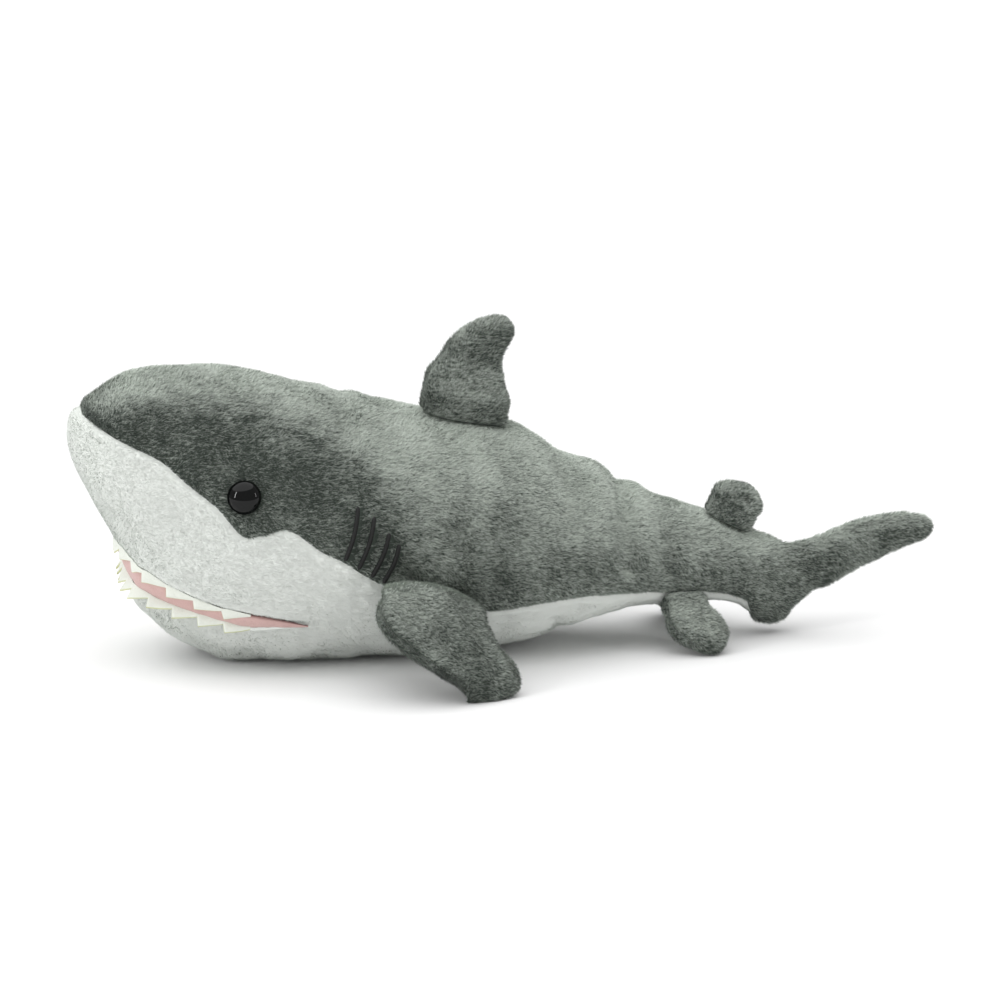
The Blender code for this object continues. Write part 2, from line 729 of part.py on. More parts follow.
def lip_path(lip, raise_by, depth, count):
    """Evenly spaced points round the mouth, at a height over a lip and a depth under the skin.

    The path runs from the left end of the teeth round the front of the mouth to the right. On
    each lengthwise line of the body's form it takes the point where the line, coming down from
    the nose, first passes under the wanted height.
    """
    angles = np.linspace(np.pi * 0.5, np.pi * 1.5, LIP_SIDES)
    stations = np.linspace(0, TEETH_END_STATION, LIP_STEPS)[1:]
    grid = form_points(stations[None, :], angles[:, None], depth)
    wanted = lip(station_of(grid[..., 0])) * HEIGHT + raise_by
    over = grid[..., 2] - wanted
    under = over < 0
    first = np.argmax(under, axis=1)
    rows = np.nonzero(first > 0)[0]
    k = first[rows]
    share = over[rows, k - 1] / (over[rows, k - 1] - over[rows, k])
    path = grid[rows, k - 1] + (grid[rows, k] - grid[rows, k - 1]) * share[:, None]
    run = np.concatenate([[0], np.cumsum(np.linalg.norm(np.diff(path, axis=0), axis=1))])
    even = np.linspace(0, run[-1], count)
    return np.stack([np.interp(even, run, path[:, axis]) for axis in range(3)], -1)


def tooth_lengths(count):
    """Strip width at each path point: a saw edge whose teeth get shorter to both ends.

    Each tooth is steep on the side that faces the front of the mouth.
    """
    middle = (count - 1) / 2
    from_front = np.abs(np.arange(count) - middle)
    phase = (from_front % TOOTH_STEPS) / TOOTH_STEPS
    steep = 1 / TOOTH_STEPS
    rise = np.where(phase < steep, phase / steep, 1 - (phase - steep) / (1 - steep))
    size = 1 - TOOTH_TAPER * (from_front / middle) ** 2
    return TOOTH_NOTCH + (TOOTH_LENGTH - TOOTH_NOTCH) * rise * size


def strip(name, root, direction, lengths):
    """A felt strip from root points along directions, with a saw edge and square sides."""
    along = np.gradient(root, axis=0)
    across = np.cross(along, direction)
    across /= np.linalg.norm(across, axis=1, keepdims=True)
    across *= FELT / 2
    edge = root + direction * lengths[:, None]
    rings = np.stack([root - across, root + across, edge + across, edge - across], 1)
    bm = bmesh.new()
    lofted(bm, rings)
    return add_object(name, finished(bm, name, 30), FELT_CLOTH)


def build_teeth():
    """The upper strip hangs over the mouth panel; the lower strip flops out over the chin."""
    count = TEETH_PER_STRIP * TOOTH_STEPS + 1
    depth = MOUTH_SINK - FIT_GAP - FELT / 2
    below = -(SEAM_GAP / 2 + FIT_GAP / 2)
    root = lip_path(upper_lip, below, depth, count)
    tip = lip_path(upper_lip, below - TOOTH_LENGTH, depth, count)
    down = tip - root
    down /= np.linalg.norm(down, axis=1, keepdims=True)
    strip("upper_teeth", root, down, tooth_lengths(count))

    above = SEAM_GAP / 2 + FIT_GAP + FELT
    root = lip_path(lower_lip, above, 0.0, count)
    along = np.gradient(root, axis=0)
    outward = np.stack([-along[:, 1], along[:, 0], 0 * along[:, 0]], -1)
    outward /= np.linalg.norm(outward, axis=1, keepdims=True)
    outward *= np.sign((outward * (root - root.mean(0))).sum(1).mean())
    flop = outward * math.cos(LOWER_TEETH_FLARE)
    flop[:, 2] = -math.sin(LOWER_TEETH_FLARE)
    strip("lower_teeth", root, flop, tooth_lengths(count))


# ---------------------------------------------------------------------------------------
# Fins


def body_cloud(first, last):
    """Many points of the body's outside between two stations, for clearances."""
    stations = np.linspace(first, last, 160)
    angles = np.linspace(0, 2 * np.pi, 181)
    return skin_points(stations[:, None], angles[None, :]).reshape(-1, 3)


def root_frame(start, end, outward, radius):
    """Matrix of a fin's root: X along the root line, Z outwards, clear of the body.

    The origin starts on the middle of the line from start to end and moves outwards until a
    roll of the given radius about X, as long as the root, keeps ROOT_GAP to the body.
    """
    axis = (end - start).normalized()
    outward = (outward - axis * outward.dot(axis)).normalized()
    middle = (start + end) / 2
    reach = (end - start).length / 2 + ROOT_SPARE
    station = float(station_of(middle.x))
    cloud = body_cloud(station - ROOT_REACH, station + ROOT_REACH)
    lift = radius
    for _ in range(12):
        offset = cloud - np.array(middle + outward * lift)
        along = offset @ np.array(axis)
        away = np.linalg.norm(offset - along[:, None] * np.array(axis), axis=1)
        nearest = float(away[np.abs(along) < reach].min())
        lift += radius + ROOT_GAP - nearest
    side = outward.cross(axis)
    turn = Matrix((axis, side, outward)).transposed().to_4x4()
    return Matrix.Translation(middle + outward * lift) @ turn


def fin_rows(rows, shares):
    """Front edge, rear edge and half thickness at shares of the span, as smooth curves."""
    at = np.array([row[0] for row in rows])
    out = []
    for k in (1, 2, 3):
        values = np.array([row[k] for row in rows])
        slope = np.gradient(values, at)
        i = np.clip(np.searchsorted(at, shares) - 1, 0, len(at) - 2)
        step = at[i + 1] - at[i]
        t = (shares - at[i]) / step
        a = (1 + 2 * t) * (1 - t) ** 2 * values[i] + t * t * (3 - 2 * t) * values[i + 1]
        b = t * (1 - t) ** 2 * slope[i] - t * t * (1 - t) * slope[i + 1]
        out.append(a + b * step)
    return out


def fin_grid(rows, span, curl, depth, angles, side=1):
    """Rings of a fin in its root frame: X along the root, Z along the span.

    The root end is part of a round roll about X. The spine leaves the root along Z and bends
    evenly by curl towards -Y. Each ring is a flattened round of (front, rear, thickness).
    """
    thick = rows[0][3]
    roll = np.array(ROOT_ROLL) * (thick - depth)
    shares = np.linspace(0, 1, FIN_RINGS) ** FIN_RING_POWER
    front, rear, half = fin_rows(rows, shares)
    length = shares * (span - depth)
    length = np.concatenate([roll, length])
    front = np.concatenate([[front[0]] * 2, front]) + depth
    rear = np.concatenate([[rear[0]] * 2, rear]) - depth
    swell = np.sqrt(np.maximum((thick - depth) ** 2 - roll**2, 1e-9))
    half = np.concatenate([swell, np.maximum(half - depth, THINNEST)])
    centre = (front + rear) / 2
    chord = np.maximum((rear - front) / 2, NARROWEST)
    lean = curl * np.clip(length / span, 0, 1)
    step = np.diff(length, prepend=length[0])
    out = length[0] + np.cumsum(step * np.cos(lean))
    drop = np.cumsum(step * np.sin(lean))
    normal_y, normal_z = np.cos(lean), np.sin(lean)
    wide = signed_power(np.cos(angles), FIN_SQUARENESS)[None, :] * chord[:, None]
    fat = np.sin(angles)[None, :] * half[:, None]
    x = centre[:, None] + wide
    y = -drop[:, None] + fat * normal_y[:, None]
    z = out[:, None] + fat * normal_z[:, None]
    return np.stack([x, y * side, z], -1)


def fin_half(name, rows, span, curl, face, side, place):
    """One plush panel of a fin: the shell on one face of its middle surface."""
    angles = np.linspace(0, np.pi, FIN_SIDES + 1) * face
    outer = fin_grid(rows, span, curl, 0.0, angles, side)
    inner = fin_grid(rows, span, curl, SKIN, angles, side)
    lean = face * side * SEAM_GAP / 2
    for grid in (outer, inner):
        grid[:, 0, 1] += lean
        grid[:, -1, 1] += lean
    bm = bmesh.new()
    walls = []
    for grid in (outer, inner):
        walls.append([[bm.verts.new(point) for point in ring] for ring in grid])
    for wall in walls:
        for first, second in zip(wall[:-1], wall[1:]):
            bridge(bm, first, second, closed=False)
    outside, inside = walls
    for first, second in ((outside[0], inside[0]), (outside[-1], inside[-1])):
        bridge(bm, first, second, closed=False)
    for k in (0, -1):
        first = [ring[k] for ring in outside]
        second = [ring[k] for ring in inside]
        bridge(bm, first, second, closed=False)
    return add_object(name, finished(bm, name), GREY_PLUSH, place)


def fin_core(name, rows, span, curl, side, place):
    """The filling inside a fin."""
    angles = 2 * np.pi * np.arange(2 * FIN_SIDES) / (2 * FIN_SIDES)
    rings = fin_grid(rows, span, curl, SKIN + FIT_GAP, angles, side)
    bm = bmesh.new()
    lofted(bm, rings)
    return add_object(name, finished(bm, name), FILLING, place)


def lowest(rows, span, curl, side, matrix):
    """Height of a placed fin's lowest point."""
    angles = np.linspace(0, 2 * np.pi, 49)
    grid = fin_grid(rows, span, curl, 0.0, angles, side).reshape(-1, 3)
    world = np.array(matrix)
    return float((grid @ world[2, :3] + world[2, 3]).min())


def resting(frame, rows, span, curl, side):
    """Turns a side fin down about its root until it just clears the ground."""
    low, high = math.radians(-60), math.radians(110)
    for _ in range(40):
        turn = (low + high) / 2
        matrix = frame @ Matrix.Rotation(turn * side, 4, "X")
        if lowest(rows, span, curl, side, matrix) > GROUND_GAP:
            low = turn
        else:
            high = turn
    return frame @ Matrix.Rotation(low * side, 4, "X")


def build_fin(name, frame, rows, span, curl, halves, side=1, under=None):
    """An empty on the root line with the fin's two panels and its filling on it."""
    place = empty(f"{name}_root", frame)
    for face, word in zip((1, -1), halves):
        fin_half(f"{name}_{word}_panel", rows, span, curl, face, side, place)
    fin_core(f"{name}_filling", rows, span, curl, side, place)
    if under is not None:
        place.parent = under
        place.matrix_parent_inverse = under.matrix_world.inverted()
    return place


def crown_frame(root, rows):
    """Root frame of a fin on the back, between two stations."""
    ends = [Vector((float(x_of(s)), 0.0, float(back(s)) * HEIGHT)) for s in root]
    return root_frame(*ends, Vector((0, 0, 1)), rows[0][3])


def side_frame(root, rows, side):
    """Root frame of a side fin, between two points of the left or the right flank."""
    ends = []
    normals = []
    for station, share in root:
        point, normal = on_side(station, share)
        point.y *= side
        normal.y *= side
        ends.append(point)
        normals.append(normal)
    outward = normals[0] + normals[1]
    return root_frame(*ends, outward, rows[0][3])


def build_fins():
    """Both back fins, and a pectoral and a pelvic fin on each side."""
    tail = bpy.data.objects["tail_bend_axis"]
    sides = ("right", "left")
    frame = crown_frame(DORSAL_ROOT, DORSAL_ROWS)
    build_fin("dorsal_fin", frame, DORSAL_ROWS, DORSAL_SPAN, 0.0, sides)
    frame = crown_frame(SECOND_ROOT, SECOND_ROWS)
    build_fin("second_dorsal_fin", frame, SECOND_ROWS, SECOND_SPAN, 0.0, sides, under=tail)
    pairs = (
        ("pectoral_fin", PECTORAL_ROOT, PECTORAL_ROWS, PECTORAL_SPAN, PECTORAL_CURL, None),
        ("pelvic_fin", PELVIC_ROOT, PELVIC_ROWS, PELVIC_SPAN, PELVIC_CURL, tail),
    )
    for name, root, rows, span, curl, under in pairs:
        for side, word in ((1, "left"), (-1, "right")):
            frame = side_frame(root, rows, side)
            frame = resting(frame, rows, span, curl, side)
            faces = ("top", "underside")
            build_fin(f"{name}_{word}", frame, rows, span, curl, faces, side, under)


def main():
    """Clears the scene and builds the toy."""
    for found in list(bpy.data.objects):
        bpy.data.objects.remove(found, do_unlink=True)
    build_body()
    build_eyes()
    build_gills()
    build_teeth()
    build_fins()


main()
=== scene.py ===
"""Looks of the stuffed toy shark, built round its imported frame.

The toy is sewn from short-pile plush over a firm filling. Each class below is one sub-assembly
of the sewing pattern: it holds its sizes and makes and dresses its own pieces. Every new piece
is a surface worked out with numpy on a grid, and the plush's pile is a coat of single-face
fibres that stand on that grid. Metres throughout, +Z up, head to -X, left side to -Y.
"""

import json
import logging
import math
from dataclasses import dataclass, field
from enum import Enum
from typing import Any, Optional, Sequence

import bpy
import numpy as np
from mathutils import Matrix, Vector


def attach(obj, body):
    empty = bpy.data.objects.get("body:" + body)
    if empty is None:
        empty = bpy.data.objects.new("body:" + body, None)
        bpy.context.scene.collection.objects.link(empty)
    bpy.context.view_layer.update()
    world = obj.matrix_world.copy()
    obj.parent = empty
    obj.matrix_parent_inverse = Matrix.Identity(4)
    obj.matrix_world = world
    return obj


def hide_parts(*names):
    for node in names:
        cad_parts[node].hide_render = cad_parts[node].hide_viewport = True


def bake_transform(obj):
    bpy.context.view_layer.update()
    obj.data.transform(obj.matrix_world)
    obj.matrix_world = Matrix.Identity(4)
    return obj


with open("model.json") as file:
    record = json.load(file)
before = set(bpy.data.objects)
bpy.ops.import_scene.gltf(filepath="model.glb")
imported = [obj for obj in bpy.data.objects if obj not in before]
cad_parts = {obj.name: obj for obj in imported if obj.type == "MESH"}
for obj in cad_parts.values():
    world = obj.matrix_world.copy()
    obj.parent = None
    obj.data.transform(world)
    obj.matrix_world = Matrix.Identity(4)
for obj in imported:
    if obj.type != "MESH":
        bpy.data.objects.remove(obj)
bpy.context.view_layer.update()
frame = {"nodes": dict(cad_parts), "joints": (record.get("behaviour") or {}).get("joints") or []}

logging.basicConfig(level=logging.INFO, format="%(message)s")
LOG = logging.getLogger("plush_shark")

Array = np.ndarray
GROUND = 0.0006
BAKE_MAP = "OFBake"


class Side(Enum):
    """The toy's two sides, with the sign of -Y on each."""

    LEFT = 1
    RIGHT = -1

    @property
    def word(self) -> str:
        """The side's name in lower case."""
        return self.name.lower()


# ---------------------------------------------------------------------------------------
# Small numeric helpers


def smooth(value: Array, low: float, high: float) -> Array:
    """Rises from 0 to 1 between low and high, with a flat start and end.

    Args:
        value: Numbers of any shape.
        low: Where the rise starts.
        high: Where the rise ends.

    Returns:
        3t^2 - 2t^3 of the clipped share t between low and high.
    """
    share = np.clip((value - low) / (high - low), 0.0, 1.0)
    return share * share * (3.0 - 2.0 * share)


def bump(value: Array, width: float) -> Array:
    """A bell of height 1 and the given half width: exp(-(value / width)^2)."""
    return np.exp(-((value / width) ** 2))


def unit(vectors: Array) -> Array:
    """Vectors along the last axis, each scaled to length 1."""
    length = np.linalg.norm(vectors, axis=-1, keepdims=True)
    return vectors / np.maximum(length, 1e-12)


def signed_power(value: Array, power: Any) -> Array:
    """value raised to power, keeping its sign."""
    return np.sign(value) * np.abs(value) ** power


def cubic_through(at: Array, values: Array, slope: Array, x: Array) -> Array:
    """The cubic Hermite curve through knots with given slopes.

    Args:
        at: Rising knot places.
        values: Values at the knots.
        slope: Slopes at the knots.
        x: Where to read the curve.

    Returns:
        The curve's values at x.
    """
    i = np.clip(np.searchsorted(at, x) - 1, 0, len(at) - 2)
    step = at[i + 1] - at[i]
    t = (x - at[i]) / step
    ends = (1 + 2 * t) * (1 - t) ** 2 * values[i] + t * t * (3 - 2 * t) * values[i + 1]
    pulls = t * (1 - t) ** 2 * slope[i] - t * t * (1 - t) * slope[i + 1]
    return ends + pulls * step


def lumps(points: Array, low: float, high: float, count: int, seed: int) -> Array:
    """Soft random unevenness: a sum of cosines that run in random directions.

    Args:
        points: Places, with the last axis holding x, y and z.
        low: Shortest wavelength in metres.
        high: Longest wavelength in metres.
        count: Number of cosines.
        seed: Seed of the random directions.

    Returns:
        One number per point, mostly between -1 and 1.
    """
    rng = np.random.default_rng(seed)
    aim = unit(rng.normal(size=(count, 3)))
    wave = 2 * np.pi / (low * (high / low) ** rng.random(count))
    phase = rng.random(count) * 2 * np.pi
    total = np.zeros(points.shape[:-1])
    for k in range(count):
        total += np.cos(points @ (aim[k] * wave[k]) + phase[k])
    return total / math.sqrt(count)


def grid_normals(points: Array, wrap: bool) -> Array:
    """Unit normals of a grid surface: the cross product of its two directions.

    Args:
        points: Grid of shape (rows, columns, 3).
        wrap: Whether the last column joins the first.

    Returns:
        Normals of the same shape.
    """
    along = np.gradient(points, axis=0)
    if wrap:
        across = np.roll(points, -1, axis=1) - np.roll(points, 1, axis=1)
    else:
        across = np.gradient(points, axis=1)
    return unit(np.cross(across, along))


# ---------------------------------------------------------------------------------------
# Meshes


@dataclass
class Sheet:
    """A grid surface with fields on it, ready to become a mesh.

    Attributes:
        points: Grid of shape (rows, columns, 3).
        wrap: Whether the last column joins the first.
        start: Point that closes the first row, if any.
        end: Point that closes the last row, if any.
        fields: Named numbers on the grid, of shape (rows, columns).
    """

    points: Array
    wrap: bool = True
    start: Optional[Array] = None
    end: Optional[Array] = None
    fields: dict[str, Array] = field(default_factory=dict)

    def faces(self) -> tuple[Array, Array]:
        """Quads between neighbouring rows, and the triangles of the two end fans."""
        rows, columns = self.points.shape[:2]
        index = np.arange(rows * columns).reshape(rows, columns)
        right = np.roll(index, -1, axis=1) if self.wrap else index[:, 1:]
        left = index if self.wrap else index[:, :-1]
        quads = np.stack([left[:-1], left[1:], right[1:], right[:-1]], -1).reshape(-1, 4)
        fans = []
        extra = rows * columns
        if self.start is not None:
            hub = np.full(left.shape[1], extra)
            fans.append(np.stack([hub, left[0], right[0]], -1))
            extra += 1
        if self.end is not None:
            hub = np.full(left.shape[1], extra)
            fans.append(np.stack([hub, right[-1], left[-1]], -1))
        triangles = np.concatenate(fans) if fans else np.zeros((0, 3), int)
        return quads, triangles

    def all_points(self) -> Array:
        """The grid's points, then the end points."""
        flat = [self.points.reshape(-1, 3)]
        flat += [np.reshape(p, (1, 3)) for p in (self.start, self.end) if p is not None]
        return np.concatenate(flat)

    def all_values(self, name: str) -> Array:
        """A field's numbers in the order of all_points."""
        values = self.fields[name]
        flat = [values.reshape(-1)]
        if self.start is not None:
            flat.append([values[0].mean()])
        if self.end is not None:
            flat.append([values[-1].mean()])
        return np.concatenate(flat)

    def places(self) -> Array:
        """Each point's place on the unit square, for the bake map."""
        rows, columns = self.points.shape[:2]
        u, v = np.meshgrid(np.arange(rows) / rows, np.arange(columns) / columns, indexing="ij")
        flat = [np.stack([u, v], -1).reshape(-1, 2)]
        if self.start is not None:
            flat.append([(0.0, 0.5)])
        if self.end is not None:
            flat.append([(0.999, 0.5)])
        return np.concatenate(flat)


def mesh_from(
    name: str, points: Array, quads: Array, triangles: Array, places: Optional[Array]
) -> bpy.types.Object:
    """Puts points and faces into a new smooth-shaded object at the origin.

    Args:
        name: The piece's name.
        points: Places of shape (n, 3).
        quads: Corner numbers of shape (q, 4).
        triangles: Corner numbers of shape (t, 3).
        places: A bake map place for each point, or None.

    Returns:
        The new object, linked to the scene.
    """
    corners = np.concatenate([quads.reshape(-1), triangles.reshape(-1)]).astype(np.int32)
    sizes = np.concatenate([np.full(len(quads), 4), np.full(len(triangles), 3)])
    starts = np.concatenate([[0], np.cumsum(sizes)[:-1]]).astype(np.int32)
    mesh = bpy.data.meshes.new(name)
    mesh.vertices.add(len(points))
    mesh.vertices.foreach_set("co", np.ascontiguousarray(points, np.float32).reshape(-1))
    mesh.loops.add(len(corners))
    mesh.loops.foreach_set("vertex_index", corners)
    mesh.polygons.add(len(starts))
    mesh.polygons.foreach_set("loop_start", starts)
    mesh.update(calc_edges=True)
    mesh.validate()
    mesh.shade_smooth()
    if places is not None:
        layer = mesh.uv_layers.new(name=BAKE_MAP)
        layer.data.foreach_set("uv", places[corners].astype(np.float32).reshape(-1))
    made = bpy.data.objects.new(name, mesh)
    bpy.context.scene.collection.objects.link(made)
    return made


def add_field(made: bpy.types.Object, name: str, values: Array) -> None:
    """Stores one number per point on a piece, for its material to read.

    Args:
        made: The piece.
        name: The attribute's name.
        values: One number per point.
    """
    stored = made.data.attributes.new(name, "FLOAT", "POINT")
    stored.data.foreach_set("value", np.ascontiguousarray(values, np.float32))


def piece_from(name: str, sheet: Sheet) -> bpy.types.Object:
    """Makes a sheet a mesh object whose faces point outwards, with its fields."""
    quads, triangles = sheet.faces()
    made = mesh_from(name, sheet.all_points(), quads, triangles, sheet.places())
    for key in sheet.fields:
        add_field(made, key, sheet.all_values(key))
    return made


# ---------------------------------------------------------------------------------------
# Shader graphs


class Number:
    """A number on a node socket, with Python's arithmetic adding Math nodes."""

    def __init__(self, graph: "Graph", socket: bpy.types.NodeSocket) -> None:
        """Wraps a socket of a graph."""
        self.graph = graph
        self.socket = socket

    def _math(self, operation: str, first: Any, second: Any = None) -> "Number":
        """Adds one Math node.

        Args:
            operation: The Math node's operation.
            first: First value or Number.
            second: Second value or Number, if the operation has one.

        Returns:
            The node's result.
        """
        inputs = {0: first} if second is None else {0: first, 1: second}
        node = self.graph.node("ShaderNodeMath", {"operation": operation}, inputs)
        return Number(self.graph, node.outputs[0])

    def __add__(self, other: Any) -> "Number":
        """Sum."""
        return self._math("ADD", self, other)

    __radd__ = __add__

    def __sub__(self, other: Any) -> "Number":
        """Difference."""
        return self._math("SUBTRACT", self, other)

    def __rsub__(self, other: Any) -> "Number":
        """Difference, the other way round."""
        return self._math("SUBTRACT", other, self)

    def __mul__(self, other: Any) -> "Number":
        """Product."""
        return self._math("MULTIPLY", self, other)

    __rmul__ = __mul__

    def between(self, low: float, high: float) -> "Number":
        """Rises smoothly from 0 to 1 as this goes from low to high."""
        node = self.graph.node(
            "ShaderNodeMapRange",
            {"interpolation_type": "SMOOTHSTEP"},
            {"Value": self, "From Min": low, "From Max": high},
        )
        return Number(self.graph, node.outputs["Result"])


class Graph:
    """The node graph of one new material that ends in a Principled shader."""

    def __init__(self, name: str) -> None:
        """Starts a material with only its output and its Principled shader."""
        self.material = bpy.data.materials.new(name)
        self.material.use_nodes = True
        self.tree = self.material.node_tree
        self.shader = self.tree.nodes["Principled BSDF"]

    def node(self, kind: str, settings: dict[str, Any], inputs: dict[Any, Any]) -> Any:
        """Adds a node.

        Args:
            kind: The node's type.
            settings: Properties to set first.
            inputs: Values or links for its sockets, by name or number.

        Returns:
            The node.
        """
        made = self.tree.nodes.new(kind)
        for key, value in settings.items():
            setattr(made, key, value)
        for key, value in inputs.items():
            self.feed(made.inputs[key], value)
        return made

    def feed(self, socket: bpy.types.NodeSocket, value: Any) -> None:
        """Links a Number or a socket to a socket, or sets its value."""
        if isinstance(value, Number):
            self.tree.links.new(value.socket, socket)
        elif isinstance(value, bpy.types.NodeSocket):
            self.tree.links.new(value, socket)
        elif isinstance(value, tuple) and len(value) == 3 and socket.type == "RGBA":
            socket.default_value = (*value, 1.0)
        else:
            socket.default_value = value

    def place(self) -> Any:
        """The Object coordinates socket."""
        return self.node("ShaderNodeTexCoord", {}, {}).outputs["Object"]

    def stored(self, name: str) -> Number:
        """A number stored on the piece."""
        made = self.node("ShaderNodeAttribute", {"attribute_name": name}, {})
        return Number(self, made.outputs["Fac"])

    def noise(self, size: float, detail: float = 2.0, stretch: Any = (1, 1, 1)) -> Number:
        """Noise whose grains have a size in metres.

        Args:
            size: Grain size in metres.
            detail: Number of finer layers.
            stretch: How many times longer the grains are along X, Y and Z.

        Returns:
            Numbers around 0.5.
        """
        scale = tuple(1.0 / (size * s) for s in stretch)
        at = self.node("ShaderNodeMapping", {}, {"Vector": self.place(), "Scale": scale})
        made = self.node(
            "ShaderNodeTexNoise",
            {},
            {"Vector": at.outputs[0], "Scale": 1.0, "Detail": detail, "Roughness": 0.55},
        )
        return Number(self, made.outputs["Fac"])

    def mix(self, share: Any, first: Any, second: Any, blend: str = "MIX") -> Any:
        """Mixes two colours.

        Args:
            share: How much of the second colour shows.
            first: First colour or socket.
            second: Second colour or socket.
            blend: The Mix node's blend type.

        Returns:
            The mixed colour's socket.
        """
        settings = {"data_type": "RGBA", "blend_type": blend, "clamp_factor": True}
        made = self.node("ShaderNodeMix", settings, {})
        self.feed(made.inputs[0], share)
        self.feed(made.inputs[6], first)
        self.feed(made.inputs[7], second)
        return made.outputs[2]

    def relief(self, height: Number, depth: float, strength: float = 1.0) -> None:
        """Feeds a bump of a depth in metres to the shader's normal."""
        made = self.node(
            "ShaderNodeBump", {}, {"Height": height, "Distance": depth, "Strength": strength}
        )
        self.feed(self.shader.inputs["Normal"], made.outputs[0])

    def finish(self, **sockets: Any) -> bpy.types.Material:
        """Sets the shader's sockets, with _ for a space in their names, and returns it all."""
        for key, value in sockets.items():
            self.feed(self.shader.inputs[key.replace("_", " ")], value)
        return self.material


# ---------------------------------------------------------------------------------------
# Finishes


@dataclass(frozen=True)
class PlushFinish:
    """Short-pile plush, grey on top and white underneath, read from the piece's fields.

    Attributes:
        name: The material's name.
        grey_deep: Grey at the foot of the pile.
        grey_pale: Grey at the fibres' tips.
        white_deep: White at the foot of the pile.
        white_pale: White at the fibres' tips.
        fibre: Whether the piece is the pile itself, not the cloth under it.
    """

    name: str
    grey_deep: tuple[float, float, float] = (0.050, 0.062, 0.052)
    grey_pale: tuple[float, float, float] = (0.60, 0.655, 0.59)
    white_deep: tuple[float, float, float] = (0.80, 0.83, 0.79)
    white_pale: tuple[float, float, float] = (0.90, 0.925, 0.89)
    fibre: bool = True

    def material(self) -> bpy.types.Material:
        """Builds the material.

        Returns:
            A plush whose colour runs from its foot to its tips, the foot darker as painted shade
            in the pile, in brushed light and dark bands, paler where it faces up as painted light
            from above, with a soft sheen.
        """
        graph = Graph(self.name)
        grey = graph.stored("grey").between(-0.0002, 0.0002)
        brushed = graph.noise(0.022, 2.0, (0.7, 1.0, 1.8))
        streaks = graph.noise(0.0012, 2.0, (3.5, 1.0, 1.0))
        broad = graph.noise(0.06, 1.0)
        tone = (brushed - 0.5) * 0.6 + (streaks - 0.5) * 1.5 + (broad - 0.5) * 0.5
        if self.fibre:
            tip = graph.stored("tip")
            own = graph.stored("tone")
            # Fibres are darker towards the foot, a painted shade deep in the pile; their own tone
            # differs at random.
            tone = tone + tip * 0.6 + (own - 0.5) * 0.6 - 0.10
        # Painted light from above: the stored sky field makes pile that faces up paler.
        painted_top_light = graph.stored("sky")
        dark_grey = graph.mix(tone + painted_top_light * 0.62, self.grey_deep, self.grey_pale)
        pale = graph.mix(tone * 0.25 + 0.35, self.white_deep, self.white_pale)
        colour = graph.mix(grey, pale, dark_grey)
        if not self.fibre:
            graph.relief(graph.noise(0.0009, 3.0, (2.5, 1.0, 1.0)), 0.0006)
        return graph.finish(
            Base_Color=colour,
            Roughness=0.92,
            Sheen_Weight=0.5,
            Sheen_Roughness=0.4,
            Sheen_Tint=(0.86, 0.92, 0.86),
            Specular_IOR_Level=0.18,
        )


@dataclass(frozen=True)
class LiningFinish:
    """Smooth brushed pink cloth between the lips."""

    name: str = "pink_lining"
    colour: tuple[float, float, float] = (0.56, 0.35, 0.33)
    pale: tuple[float, float, float] = (0.68, 0.47, 0.44)

    def material(self) -> bpy.types.Material:
        """Builds the material: pink with a fine nap, with painted shade in its two creases at the
        lips.
        """
        graph = Graph(self.name)
        nap = graph.noise(0.0007, 3.0)
        soft = graph.noise(0.012, 1.0)
        share = (soft - 0.5) * 0.8 + (nap - 0.5) * 0.8 + 0.5
        colour = graph.mix(share, self.colour, self.pale)
        # Painted shade: the pink darkens towards both lips, where it turns in under the plush and
        # the teeth.
        crease = graph.stored("crease").between(0.55, 1.0)
        colour = graph.mix(crease * 0.7, colour, (0.25, 0.12, 0.11))
        graph.relief(nap, 0.0004)
        return graph.finish(
            Base_Color=colour, Roughness=0.85, Sheen_Weight=0.3, Specular_IOR_Level=0.2
        )


@dataclass(frozen=True)
class FeltFinish:
    """Thick cream felt with yellower cut edges."""

    name: str = "cream_felt"
    face: tuple[float, float, float] = (0.80, 0.83, 0.76)
    edge: tuple[float, float, float] = (0.62, 0.64, 0.36)

    def material(self) -> bpy.types.Material:
        """Builds the material: matted fibres, yellower where the felt was cut."""
        graph = Graph(self.name)
        matted = graph.noise(0.0008, 4.0)
        cut = graph.stored("cut").between(0.35, 0.95)
        colour = graph.mix(cut, self.face, self.edge)
        colour = graph.mix((matted - 0.35) * 0.35, colour, (0.55, 0.56, 0.46))
        graph.relief(matted, 0.0003)
        return graph.finish(
            Base_Color=colour, Roughness=0.9, Sheen_Weight=0.2, Specular_IOR_Level=0.2
        )


@dataclass(frozen=True)
class ThreadFinish:
    """Black embroidery thread, slightly lustrous across its stitches."""

    name: str = "black_thread"

    def material(self) -> bpy.types.Material:
        """Builds the material: near-black thread with a soft shine."""
        graph = Graph(self.name)
        strand = graph.noise(0.0003, 2.0, (1.0, 1.0, 3.0))
        colour = graph.mix(strand, (0.002, 0.002, 0.002), (0.009, 0.010, 0.009))
        graph.relief(strand, 0.0001)
        return graph.finish(Base_Color=colour, Roughness=0.55, Specular_IOR_Level=0.35)


@dataclass(frozen=True)
class EyeFinish:
    """Polished black plastic of the snap-in eyes."""

    name: str = "eye_plastic"

    def material(self) -> bpy.types.Material:
        """Builds the material: gloss black with the faintest unevenness in its polish."""
        graph = Graph(self.name)
        haze = graph.noise(0.002, 2.0)
        colour = graph.mix(haze, (0.0015, 0.0018, 0.0018), (0.003, 0.0035, 0.0033))
        return graph.finish(
            Base_Color=colour, Roughness=haze * 0.03 + 0.02, Specular_IOR_Level=0.25
        )


